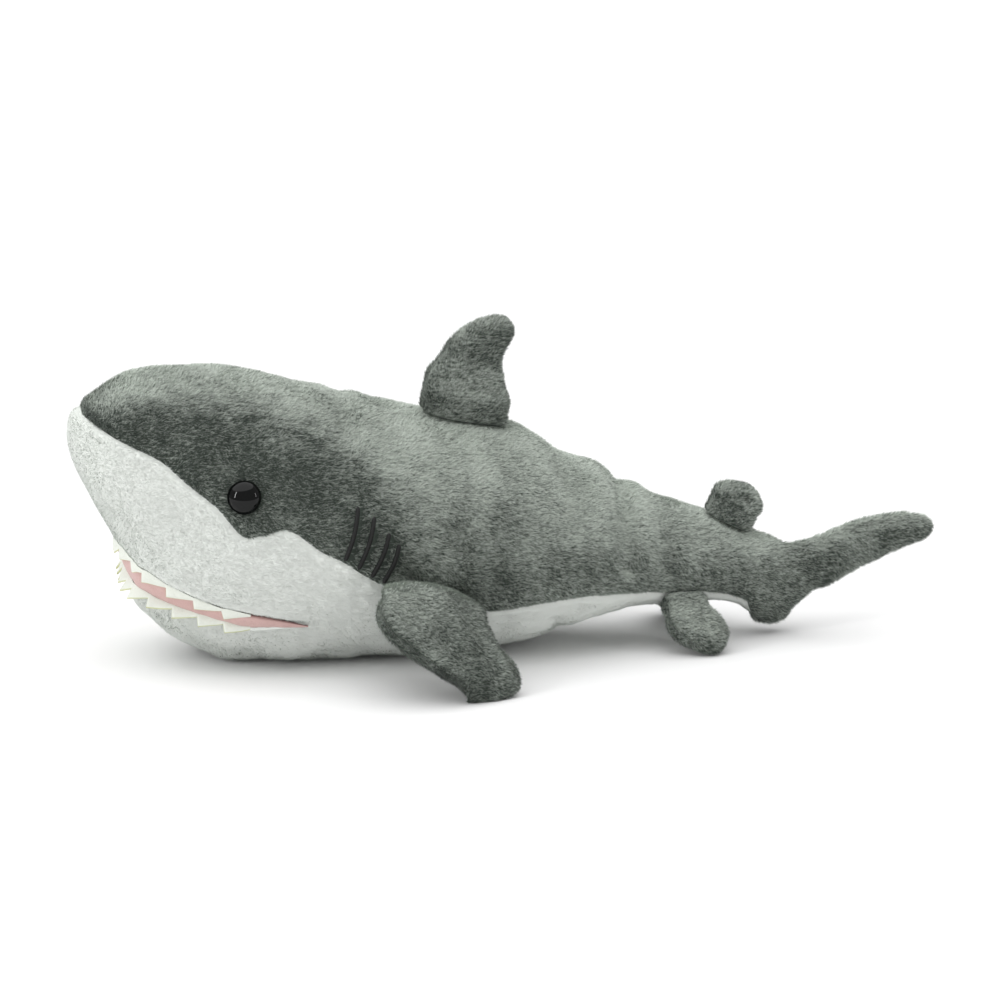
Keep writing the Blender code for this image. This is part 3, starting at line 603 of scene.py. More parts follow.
@dataclass(frozen=True)
class WasherFinish:
    """Plain moulded plastic of the eyes' lock washers."""

    name: str = "washer_plastic"

    def material(self) -> bpy.types.Material:
        """Builds the material: off-white plastic with a fine moulded grain."""
        graph = Graph(self.name)
        grain = graph.noise(0.0006, 2.0)
        colour = graph.mix(grain, (0.68, 0.68, 0.64), (0.76, 0.76, 0.73))
        graph.relief(grain, 0.0001)
        return graph.finish(Base_Color=colour, Roughness=0.45)


@dataclass(frozen=True)
class FloorFinish:
    """The studio's seamless white sweep."""

    name: str = "white_sweep"

    def material(self) -> bpy.types.Material:
        """Builds the material: matt white paper."""
        graph = Graph(self.name)
        return graph.finish(
            Base_Color=(0.95, 0.95, 0.95), Roughness=0.75, Specular_IOR_Level=0.0
        )


# ---------------------------------------------------------------------------------------
# The toy's form


@dataclass(frozen=True)
class Profile:
    """A smooth value along the toy, through (station, value) knots, without overshoot.

    The curve is a cubic in an angle that opens up both ends of the toy, so a value that leaves
    the nose steeply gives a round end. A station is a share of the length from the nose.
    """

    knots: tuple[tuple[float, float], ...]

    def __call__(self, station: Array) -> Array:
        """Values at stations."""
        places, values = np.array(self.knots, float).T
        at = np.arccos(1 - 2 * places)
        rise = np.diff(values) / np.diff(at)
        slope = np.zeros(len(at))
        same = rise[1:] * rise[:-1] > 0
        total = np.where(same, rise[1:] + rise[:-1], 1)
        slope[1:-1] = np.where(same, 2 * rise[1:] * rise[:-1] / total, 0)
        slope[0], slope[-1] = rise[0], rise[-1]
        angle = np.arccos(1 - 2 * np.clip(station, 0, 1))
        return cubic_through(at, values, slope, np.clip(angle, at[0], at[-1]))


@dataclass(frozen=True)
class ToyForm:
    """The stuffed body's outside: its outlines in side view and plan, and its sections."""

    length: float = 0.444
    height: float = 0.151
    width: float = 0.140
    fullness: float = 2.15
    back: Profile = Profile((
        (0.0, 0.78), (0.0052, 0.845), (0.0113, 0.872), (0.034, 0.927), (0.0685, 0.98),
        (0.126, 1.0), (0.20, 0.98), (0.266, 0.927), (0.333, 0.872), (0.401, 0.827),
        (0.507, 0.763), (0.555, 0.682), (0.603, 0.613), (0.661, 0.519), (0.736, 0.436),
        (0.828, 0.327), (0.872, 0.352), (0.914, 0.397), (0.957, 0.416), (0.985, 0.400),
        (1.0, 0.351),
    ))
    belly: Profile = Profile((
        (0.0, 0.78), (0.0052, 0.68), (0.0203, 0.556), (0.0396, 0.45), (0.0586, 0.345),
        (0.0667, 0.20), (0.0914, 0.114), (0.109, 0.07), (0.149, 0.012), (0.18, -0.016),
        (0.27, -0.025), (0.40, -0.022), (0.48, -0.004), (0.563, 0.047), (0.6125, 0.09),
        (0.661, 0.105), (0.736, 0.115), (0.765, 0.10), (0.785, 0.035), (0.806, 0.014),
        (0.822, 0.024), (0.84, 0.083), (0.872, 0.13), (0.914, 0.21), (0.957, 0.262),
        (0.985, 0.29), (1.0, 0.351),
    ))
    girth: Profile = Profile((
        (0.0, 0.0), (0.0158, 0.40), (0.038, 0.56), (0.072, 0.69), (0.113, 0.79),
        (0.162, 0.88), (0.207, 0.94), (0.275, 0.99), (0.345, 1.0), (0.455, 0.94),
        (0.511, 0.86), (0.568, 0.74), (0.613, 0.62), (0.658, 0.51), (0.703, 0.41),
        (0.748, 0.33), (0.793, 0.25), (0.838, 0.145), (0.894, 0.125), (0.95, 0.115),
        (0.984, 0.085), (1.0, 0.0),
    ))
    waist: Profile = Profile((
        (0.0, 0.78), (0.04, 0.68), (0.072, 0.60), (0.113, 0.53), (0.162, 0.48),
        (0.275, 0.43), (0.365, 0.41), (0.455, 0.38), (0.545, 0.35), (0.635, 0.31),
        (0.748, 0.26), (0.793, 0.22), (0.838, 0.205), (0.894, 0.28), (0.95, 0.34),
        (1.0, 0.351),
    ))

    def x(self, station: Any) -> Any:
        """Distance along X of a station."""
        return (np.asarray(station, float) - 0.5) * self.length

    def station(self, x: Any) -> Any:
        """Station of a distance along X."""
        return np.asarray(x, float) / self.length + 0.5

    def points(self, station: Array, angle: Array) -> Array:
        """Points of the outside.

        Above its widest height a section is half an ellipse, and below it the fuller
        superellipse of the given fullness. The angle runs from the crown down the left side.

        Args:
            station: Stations.
            angle: Angles round each section.

        Returns:
            Points, with x, y and z on a new last axis.
        """
        station, angle = np.broadcast_arrays(station, angle)
        middle = self.waist(station) * self.height
        top = self.back(station) * self.height - middle
        drop = middle - self.belly(station) * self.height
        half = self.girth(station) * self.width / 2
        under = np.cos(angle) < 0
        power = np.where(under, 2 / self.fullness, 1.0)
        y = -half * signed_power(np.sin(angle), power)
        z = middle + np.where(under, drop, top) * signed_power(np.cos(angle), power)
        return np.stack([self.x(station), y, z], -1)

    def half_width(self, station: Any, height: Any) -> Any:
        """Half the body's width at a station and a height in metres."""
        middle = self.waist(station) * self.height
        top = np.maximum(self.back(station) * self.height - middle, 1e-6)
        drop = np.maximum(middle - self.belly(station) * self.height, 1e-6)
        under = height < middle
        power = np.where(under, self.fullness, 2.0)
        share = np.abs(height - middle) / np.where(under, drop, top)
        half = self.girth(station) * self.width / 2
        return half * np.maximum(1 - share**power, 0) ** (1 / power)

    def on_side(self, station: Array, share: Array, side: Side) -> tuple[Array, Array]:
        """Points and outward normals on one flank.

        Args:
            station: Stations.
            share: Heights as shares of the body's height.
            side: Which flank.

        Returns:
            Points and unit normals.
        """
        station, share = np.asarray(station, float), np.asarray(share, float)
        z = share * self.height
        small = 1e-4
        half = self.half_width(station, z)
        ahead = (self.half_width(station + small, z) - half) / (small * self.length)
        above = (self.half_width(station, z + small) - half) / small
        point = np.stack([self.x(station), -side.value * half, z], -1)
        normal = np.stack([-ahead, -side.value * np.ones_like(half), -above], -1)
        return point, unit(normal)


FORM = ToyForm()
EYE_PLACE = (0.185, 0.642)

SIDE_SEAM = Profile((
    (0.0108, 0.862), (0.018, 0.855), (0.046, 0.815), (0.091, 0.757), (0.122, 0.68),
    (0.154, 0.605), (0.187, 0.508), (0.211, 0.52), (0.229, 0.535), (0.238, 0.525),
    (0.27, 0.456), (0.294, 0.42), (0.34, 0.33), (0.40, 0.262), (0.471, 0.205),
    (0.55, 0.222), (0.601, 0.211), (0.66, 0.189), (0.732, 0.164), (0.77, 0.125),
    (0.778, 0.06),
))
UPPER_LIP = Profile((
    (0.05, 0.41), (0.065, 0.38), (0.08, 0.357), (0.095, 0.33), (0.113, 0.303),
    (0.136, 0.274), (0.157, 0.251), (0.18, 0.236), (0.217, 0.214), (0.257, 0.186),
))
LOWER_LIP = Profile((
    (0.05, 0.315), (0.06, 0.296), (0.08, 0.272), (0.095, 0.252), (0.113, 0.236),
    (0.136, 0.216), (0.16, 0.196), (0.19, 0.177), (0.217, 0.179), (0.257, 0.183),
))
MOUTH_CORNER = 0.257
GREY_START, GREY_END = 0.0108, 0.778


def over_line(line: Profile, points: Array) -> Array:
    """Signed distance of points over a seam line in side view, to first order.

    Args:
        line: The seam's height as a share of the body's height.
        points: Places.

    Returns:
        Height over the line, divided by the length of its slope vector.
    """
    station = FORM.station(points[..., 0])
    small = 1e-3
    rise = (line(station + small) - line(station - small)) * FORM.height
    slope = rise / (2 * small * FORM.length)
    return (points[..., 2] - line(station) * FORM.height) / np.sqrt(1 + slope**2)


def grey_distance(points: Array) -> Array:
    """Signed distance to the edge of the grey cloth, positive on the grey."""
    over = over_line(SIDE_SEAM, points)
    behind = points[..., 0] - FORM.x(GREY_END)
    ahead = points[..., 0] - FORM.x(GREY_START)
    return np.minimum(np.maximum(over, behind), ahead)


def mouth_distance(points: Array) -> Array:
    """Signed distance into the mouth's band, positive between the lips."""
    under_upper = -over_line(UPPER_LIP, points)
    over_lower = over_line(LOWER_LIP, points)
    ahead = FORM.x(MOUTH_CORNER) - points[..., 0]
    return np.minimum(np.minimum(under_upper, over_lower), ahead)


# ---------------------------------------------------------------------------------------
# Pile


@dataclass(frozen=True)
class Pile:
    """A coat of fibres, each one narrow triangle that leans along the nap.

    Attributes:
        density: Fibres per square millimetre.
        length: Fibre length in metres.
        breadth: Width at the foot in metres.
        lean: Angle of the fibres over the cloth.
        own_share: How much a fibre's own facing counts in its shading.
        seed: Seed of the scatter.
        sway: Spread of the fibres' turn away from the nap.
        lean_spread: Spread of the lean.
        roll: Spread of the turn about the fibre's own length.
        rooting: Depth of the foot under the cloth.
    """

    density: float
    length: float
    breadth: float = 0.00042
    lean: float = math.radians(36)
    own_share: float = 0.5
    seed: int = 1
    sway: float = 0.38
    lean_spread: float = 0.22
    roll: float = 0.45
    rooting: float = 0.0002

    def coat(
        self,
        name: str,
        sheet: Sheet,
        nap: Array,
        cover: Array,
        reach: Array,
        finish: PlushFinish,
    ) -> bpy.types.Object:
        """Stands fibres on a sheet.

        A cell is drawn in proportion to its area times the cover, and a place in the cell
        evenly. The foot lies just under the cloth and the tip one length along the leaning
        direction; both are shaded with a normal between the fibre's own and the cloth's.

        Args:
            name: The coat's name.
            sheet: The cloth.
            nap: Direction of the nap at each grid point.
            cover: Share of the density at each grid point, 0 where the cloth is bare.
            reach: Share of the length at each grid point.
            finish: The plush.

        Returns:
            The coat as one mesh object.
        """
        rng = np.random.default_rng(self.seed)
        grid = sheet.points
        normals = grid_normals(grid, sheet.wrap)
        columns = grid.shape[1] if sheet.wrap else grid.shape[1] - 1
        here = np.arange(columns)
        there = np.roll(here, -1) if sheet.wrap else here + 1
        down = grid[1:, here] - grid[:-1, here]
        across = grid[:-1][:, there] - grid[:-1, here]
        area = np.linalg.norm(np.cross(down, across), axis=-1)
        weight = (area * cover[:-1, here]).reshape(-1)
        count = int(weight.sum() * 1e6 * self.density)
        pick = np.searchsorted(np.cumsum(weight), rng.random(count) * weight.sum())
        row, column = np.divmod(np.minimum(pick, weight.size - 1), columns)
        a, b = rng.random(count), rng.random(count)

        def read(values: Array) -> Array:
            """Values between a cell's four corners, in proportion to the place in it."""
            ca, cb = (a[:, None], b[:, None]) if values.ndim == 3 else (a, b)
            top = values[row, column] * (1 - cb) + values[row, there[column]] * cb
            low = values[row + 1, column] * (1 - cb) + values[row + 1, there[column]] * cb
            return top * (1 - ca) + low * ca

        foot = read(grid)
        up = unit(read(normals))
        flow = read(nap)
        flow = unit(flow - up * (flow * up).sum(-1, keepdims=True))
        across = np.cross(up, flow)
        turn = rng.normal(0, self.sway, count)[:, None]
        flow = flow * np.cos(turn) + across * np.sin(turn)
        across = np.cross(up, flow)
        lean = np.clip(self.lean + rng.normal(0, self.lean_spread, count), 0.2, 1.35)[:, None]
        aim = flow * np.cos(lean) + up * np.sin(lean)
        roll = rng.normal(0, self.roll, count)[:, None]
        face = unit(np.cross(across, aim))
        broad = across * np.cos(roll) + face * np.sin(roll)
        length = (self.length * read(reach) * rng.uniform(0.75, 1.2, count))[:, None]
        foot = foot - up * self.rooting
        tip = foot + aim * length
        tip[:, 2] = np.maximum(tip[:, 2], GROUND / 2)
        foot[:, 2] = np.maximum(foot[:, 2], GROUND / 2)
        half = broad * self.breadth / 2
        corners = np.stack([foot - half, foot + half, tip], 1)
        own = np.cross(corners[:, 1] - corners[:, 0], corners[:, 2] - corners[:, 0])
        turned = (own * up).sum(-1) < 0
        corners[turned] = corners[turned][:, [1, 0, 2]]
        own[turned] *= -1
        shade = unit(up + self.own_share * unit(own))
        triangles = np.arange(count * 3).reshape(-1, 3)
        rows, columns_all = grid.shape[:2]
        spot = np.stack([(row + a) / rows, (column + b) / columns_all], -1)
        spread = np.array([[0, 0], [0.7, 0], [0, 0.7]]) / np.array([rows, columns_all])
        places = (spot[:, None, :] + spread[None]).reshape(-1, 2)
        none = np.zeros((0, 4), int)
        made = mesh_from(name, corners.reshape(-1, 3), none, triangles, places)
        made.data.normals_split_custom_set_from_vertices(np.repeat(shade, 3, axis=0))
        add_field(made, "tip", np.tile([0.0, 0.0, 1.0], count))
        add_field(made, "tone", np.repeat(rng.random(count), 3))
        for key, values in sheet.fields.items():
            add_field(made, key, np.repeat(read(values), 3))
        made.data.materials.append(finish.material())
        LOG.info("%s: %d fibres", name, count)
        return made


# ---------------------------------------------------------------------------------------
# Skin


@dataclass(frozen=True)
class Fold:
    """A soft crease in the stuffed cloth, between two places in side view.

    Attributes:
        start: Station and share of the height of one end.
        end: Station and share of the height of the other end.
        width: Half width in metres.
        depth: Depth in metres; negative for a swelling.
    """

    start: tuple[float, float]
    end: tuple[float, float]
    width: float
    depth: float

    def press(self, points: Array) -> Array:
        """How far the fold moves points outwards: a bell of the distance to its line."""
        ends = []
        for station, share in (self.start, self.end):
            ends.append(np.array([FORM.x(station), share * FORM.height]))
        run = ends[1] - ends[0]
        at = points[..., [0, 2]] - ends[0]
        share = np.clip((at @ run) / (run @ run), 0.0, 1.0)
        away = np.linalg.norm(at - share[..., None] * run, axis=-1)
        return -self.depth * bump(away, self.width)


@dataclass
class Skin:
    """The plush body from snout to tail tip, in two pieces that meet in the tail stock."""

    eye_bare: tuple[float, float] = (0.0078, 0.0088)
    groove: float = 0.0009
    inset: float = 0.0024
    lip_roll: float = 0.0007
    mouth_depth: float = 0.0032
    meeting: float = 0.765
    fine_step: float = 0.0009
    coarse_step: float = 0.0017
    columns: int = 272
    folds: tuple[Fold, ...] = (
        Fold((0.305, 0.84), (0.300, 0.66), 0.0060, 0.0019),
        Fold((0.330, 0.86), (0.325, 0.70), 0.0055, -0.0013),
        Fold((0.423, 0.51), (0.415, 0.30), 0.0060, 0.0023),
        Fold((0.447, 0.50), (0.443, 0.30), 0.0050, -0.0017),
        Fold((0.470, 0.52), (0.470, 0.28), 0.0060, 0.0020),
        Fold((0.560, 0.64), (0.565, 0.45), 0.0060, 0.0019),
        Fold((0.600, 0.58), (0.602, 0.36), 0.0060, -0.0020),
        Fold((0.628, 0.55), (0.630, 0.30), 0.0050, 0.0032),
        Fold((0.650, 0.50), (0.652, 0.34), 0.0050, -0.0017),
        Fold((0.675, 0.46), (0.678, 0.26), 0.0050, 0.0022),
        Fold((0.365, 0.36), (0.420, 0.20), 0.0070, 0.0036),
        Fold((0.262, 0.16), (0.330, 0.03), 0.0060, 0.0017),
        Fold((0.545, 0.12), (0.560, 0.04), 0.0050, 0.0020),
        Fold((0.825, 0.30), (0.860, 0.12), 0.0060, 0.0023),
    )
    grey_coats: dict[str, tuple[tuple[str, float, float], ...]] = field(
        default_factory=lambda: {
            "front": (
                ("grey_pile_head", -1.0, 0.31),
                ("grey_pile_back", 0.31, 0.53),
                ("grey_pile_loin", 0.53, 2.0),
            ),
            "rear": (("grey_pile_tail", -1.0, 2.0),),
        }
    )
    white_coats: dict[str, tuple[tuple[str, float, float], ...]] = field(
        default_factory=lambda: {
            "front": (
                ("white_pile_face", -1.0, 0.16),
                ("white_pile_throat", 0.16, 0.31),
                ("white_pile_belly", 0.31, 2.0),
            ),
            "rear": (("white_pile_tail", -1.0, 2.0),),
        }
    )

    def stations(self) -> Array:
        """Stations of the rings, close together at both ends and round the mouth."""
        nose = 0.02 * (np.arange(1, 13) / 12) ** 2
        face_count = int((MOUTH_CORNER + 0.02 - nose[-1]) * FORM.length / self.fine_step)
        face = np.linspace(nose[-1], MOUTH_CORNER + 0.02, face_count)[1:]
        rest_count = int((0.985 - face[-1]) * FORM.length / self.coarse_step)
        rest = np.linspace(face[-1], 0.985, rest_count)[1:]
        tail = 1 - 0.015 * (np.arange(11, 0, -1) / 12) ** 2
        return np.concatenate([nose, face, rest, tail])

    def angles(self) -> Array:
        """Angles of the columns, closer together at the height of the lips."""
        even = np.linspace(0, 2 * np.pi, 2001)
        lips = np.radians([130.0, 230.0])
        density = 1 + sum(1.5 * bump(even - lip, 0.38) for lip in lips)
        total = np.concatenate([[0], np.cumsum((density[1:] + density[:-1]) / 2)])
        total /= total[-1]
        return np.interp(np.arange(self.columns) / self.columns, total, even)

    def raised(self, points: Array, angle: Array, station: Array) -> Array:
        """How far the cloth stands out from the plain form.

        It is inset to leave room for the pile, sinks in a bell-shaped groove along every seam
        and swells beside it, rolls over the lips, sinks between them, dips round the eyes, and
        is creased and lumpy.

        Args:
            points: Points of the plain form.
            angle: Their angles round the section.
            station: Their stations.

        Returns:
            Distances in metres.
        """
        seam = grey_distance(points)
        mouth = mouth_distance(points)
        out = -self.groove * bump(seam, 0.0013) + 0.0004 * bump(np.abs(seam) - 0.0034, 0.0022)
        crown = smooth(np.cos(angle), 0.0, 0.6)
        ends = smooth(station, 0.03, 0.08) * (1 - smooth(station, 0.97, 0.995))
        out -= self.inset * smooth(station, 0.0, 0.02)
        gather = 1 + 0.25 * lumps(points, 0.005, 0.011, 8, 5)
        y = np.abs(points[..., 1])
        dorsal = -0.0007 * gather * bump(y, 0.0012) + 0.0003 * bump(y - 0.0036, 0.0022)
        out += dorsal * crown * ends
        near_corner = smooth(FORM.x(MOUTH_CORNER) - points[..., 0], -0.002, 0.016)
        lip = bump(np.minimum(mouth, 0) + 0.0012, 0.0018) * (mouth < 0)
        out += self.lip_roll * lip * near_corner
        out -= self.mouth_depth * smooth(mouth, -0.0004, 0.0012)
        for side in Side:
            centre, _ = FORM.on_side(*EYE_PLACE, side)
            away = np.linalg.norm(points - centre, axis=-1)
            out -= 0.0016 * bump(away, 0.0095)
            out += 0.0008 * bump(away - 0.0135, 0.0035)
        for fold in self.folds:
            out += fold.press(points)
        body = smooth(station, 0.02, 0.1) * (1 - smooth(station, 0.93, 1.0))
        out += 0.00055 * body * lumps(points, 0.022, 0.06, 22, 11)
        out += 0.00022 * body * lumps(points, 0.007, 0.015, 26, 12)
        return out

    def sheet(self) -> Sheet:
        """The whole skin as one grid."""
        station, angle = np.meshgrid(self.stations(), self.angles(), indexing="ij")
        plain = FORM.points(station, angle)
        normal = grid_normals(plain, True)
        points = plain + normal * self.raised(plain, angle, station)[..., None]
        points[..., 2] = np.maximum(points[..., 2], GROUND)
        nose = np.array([FORM.x(0.0), 0.0, float(FORM.back(0.0)) * FORM.height])
        tip = np.array([FORM.x(1.0), 0.0, float(FORM.back(1.0)) * FORM.height])
        # The sky field is painted light from above, read by the plush's colour.
        fields = {"grey": grey_distance(plain), "sky": self.brushing(points, station)}
        return Sheet(points, True, nose, tip, fields)

    def brushing(self, points: Array, station: Array) -> Array:
        """Painted light from above: the pile is paler where the cloth faces up, most on the back,
        with painted shade on the sides of the head, a painted highlight on the loin and a little
        darker along the tail.
        """
        upward = grid_normals(points, True)[..., 2]
        head = 1 - smooth(station, 0.27, 0.40)
        lit_from_above = smooth(upward, -0.25 + 0.85 * head, 0.95 + 0.03 * head)
        # Painted highlight on the loin, where the cloth faces up.
        loin = 0.22 * bump(station - 0.61, 0.05) * smooth(upward, -0.2, 0.5)
        tail = 0.15 * smooth(station, 0.78, 0.88)
        # Painted shade on the head where it does not face up.
        return lit_from_above * (1 - 0.1 * head) - 0.18 * head * (1 - lit_from_above) + loin - tail

    def bare_spots(self, points: Array) -> Array:
        """Cover of the pile: none in the mouth, at the eyes' seats or under gill lines."""
        cover = 1 - smooth(mouth_distance(points), -0.0006, 0.0006)
        for side in Side:
            centre, _ = FORM.on_side(*EYE_PLACE, side)
            cover *= smooth(np.linalg.norm(points - centre, axis=-1), *self.eye_bare)
        return cover * smooth(GILLS.distance(points), *GILLS.bare)

    def build(self) -> None:
        """Makes the two skin pieces and their coats."""
        whole = self.sheet()
        cut = int(np.searchsorted(self.stations(), self.meeting))
        grey = whole.fields["grey"]
        parts = {
            "front": (slice(0, cut + 1), whole.start, None, ("trunk", "tail")),
            "rear": (slice(cut, None), None, whole.end, ("tail", "tail_fin")),
        }
        stands_for = {
            "front": (
                "trunk_filling", "side_panel_left", "side_panel_right", "face_panel",
                "belly_panel", "tail_filling", "tail_belly_panel",
            ),
            "rear": (
                "tail_panel_left", "tail_panel_right", "tail_fin_filling",
                "tail_fin_panel_left", "tail_fin_panel_right",
            ),
        }
        cloth = PlushFinish("plush_backing", fibre=False).material()
        for key, (rows, start, end, bodies) in parts.items():
            fields = {name: values[rows] for name, values in whole.fields.items()}
            sheet = Sheet(whole.points[rows], True, start, end, fields)
            skin = piece_from(f"plush_skin_{key}", sheet)
            skin.data.materials.append(cloth)
            pieces = [skin, *self.coats(key, sheet, grey[rows])]
            for piece in pieces:
                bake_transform(piece)
            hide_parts(*stands_for[key])
            LOG.info("%s: %d points", skin.name, len(skin.data.vertices))

    def coats(self, key: str, sheet: Sheet, grey: Array) -> list[bpy.types.Object]:
        """The grey and the white pile of one skin piece.

        Args:
            key: Which skin piece.
            sheet: Its grid.
            grey: Signed distance to the edge of the grey cloth.

        Returns:
            The coats.
        """
        points = sheet.points
        normals = grid_normals(points, True)
        cover = self.bare_spots(points)
        facing_ground = smooth(points[..., 2], 0.0008, 0.003)
        nap = np.zeros_like(points)
        nap[..., 0] = 1.0
        nap[..., 2] = -0.28 + 0.25 * lumps(points, 0.02, 0.05, 8, 21)
        nap += 0.3 * np.stack([lumps(points, 0.015, 0.04, 8, 22 + k) for k in range(3)], -1)
        seam = 1 - 0.45 * bump(grey, 0.0016)
        stations = FORM.station(points[..., 0])
        made = []
        for number, (name, start, end) in enumerate(self.grey_coats[key]):
            inside = (stations >= start) & (stations < end) & (grey > 0)
            coat = Pile(density=5.2, length=0.0027, seed=31 + number)
            made.append(coat.coat(name, sheet, nap, cover * inside, seam, PlushFinish(name)))
        for number, (name, start, end) in enumerate(self.white_coats[key]):
            inside = (stations >= start) & (stations < end) & (grey <= 0)
            inside = inside * (0.25 + 0.75 * facing_ground)
            coat = Pile(density=5.0, length=0.0012, lean=math.radians(46), own_share=0.05,
                        seed=41 + number)
            made.append(coat.coat(name, sheet, nap, cover * inside, seam, PlushFinish(name)))
        return made


def joint_named(name: str) -> dict[str, Any]:
    """The frame's joint of that name."""
    return next(joint for joint in frame["joints"] if joint["name"] == name)


# ---------------------------------------------------------------------------------------
# Gill lines


@dataclass
class GillLines:
    """Four satin-stitched lines on each flank."""

    radius: float = 0.00125
    stitch: float = 0.0008
    bow: float = 0.0012
    length: float = 0.027
    stand_off: float = 0.0010
    slant: float = 0.0004
    bare: tuple[float, float] = (0.0015, 0.0022)
    lines: tuple[tuple[tuple[float, float], tuple[float, float]], ...] = (
        ((0.312, 0.601), (0.296, 0.432)),
        ((0.330, 0.567), (0.311, 0.402)),
        ((0.346, 0.515), (0.326, 0.374)),
        ((0.357, 0.477), (0.339, 0.352)),
    )

    def route(self, line: Sequence[tuple[float, float]], count: int) -> tuple[Array, Array]:
        """Stations and shares of the height along a line that bows back by a sine."""
        t = np.linspace(0.0, 1.0, count)
        (s0, h0), (s1, h1) = line
        bow = self.bow / FORM.length * np.sin(np.pi * t)
        return s0 + (s1 - s0) * t + bow, h0 + (h1 - h0) * t

    def distance(self, points: Array) -> Array:
        """Distance of points to the nearest gill line, in side view."""
        nearest = np.full(points.shape[:-1], 1.0)
        for line in self.lines:
            station, share = self.route(line, 12)
            for s, h in zip(station, share):
                away = np.hypot(points[..., 0] - FORM.x(s), points[..., 2] - h * FORM.height)
                nearest = np.minimum(nearest, away)
            start = np.array([FORM.x(station[0]), share[0] * FORM.height])
            run = np.array([FORM.x(station[-1]), share[-1] * FORM.height]) - start
            at = points[..., [0, 2]] - start
            part = np.clip((at @ run) / (run @ run), 0, 1)
            away = np.linalg.norm(at - part[..., None] * run, axis=-1)
            nearest = np.minimum(nearest, away)
        return nearest

    def build(self) -> None:
        """Makes each line a round cord whose radius swells once per stitch."""
        material = ThreadFinish().material()
        for side in Side:
            for number, line in enumerate(self.lines, 1):
                count = int(self.length / self.stitch) * 5
                station, share = self.route(line, count)
                point, normal = FORM.on_side(station, share, side)
                along = unit(np.gradient(point, axis=0))
                across = np.cross(along, normal)
                t = np.linspace(0, 1, count)
                run = t * self.length / self.stitch
                swell = 0.82 + 0.18 * np.abs(np.sin(np.pi * run))
                ends = np.sqrt(np.maximum(1 - (2 * t - 1) ** 24, 0.02))
                radius = self.radius * swell * ends
                turn = np.linspace(0, 2 * np.pi, 11)[:-1]
                slant = self.slant * np.sin(turn)[None, :]
                centre = point + normal * self.stand_off
                ring = (
                    centre[:, None, :]
                    + across[:, None, :] * (np.cos(turn)[None, :] * radius[:, None])[..., None]
                    + normal[:, None, :] * (np.sin(turn)[None, :] * radius[:, None])[..., None]
                    + along[:, None, :] * slant[..., None]
                )
                if side is Side.RIGHT:
                    ring = ring[:, ::-1]
                sheet = Sheet(ring, True, centre[0], centre[-1])
                name = f"gill_stitching_{side.word}_{number}"
                made = piece_from(name, sheet)
                made.data.materials.append(material)
                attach(made, "trunk")
                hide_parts(f"gill_{side.word}_{number}")
        LOG.info("gill lines: %d on each side", len(self.lines))


GILLS = GillLines()


# ---------------------------------------------------------------------------------------
# Mouth


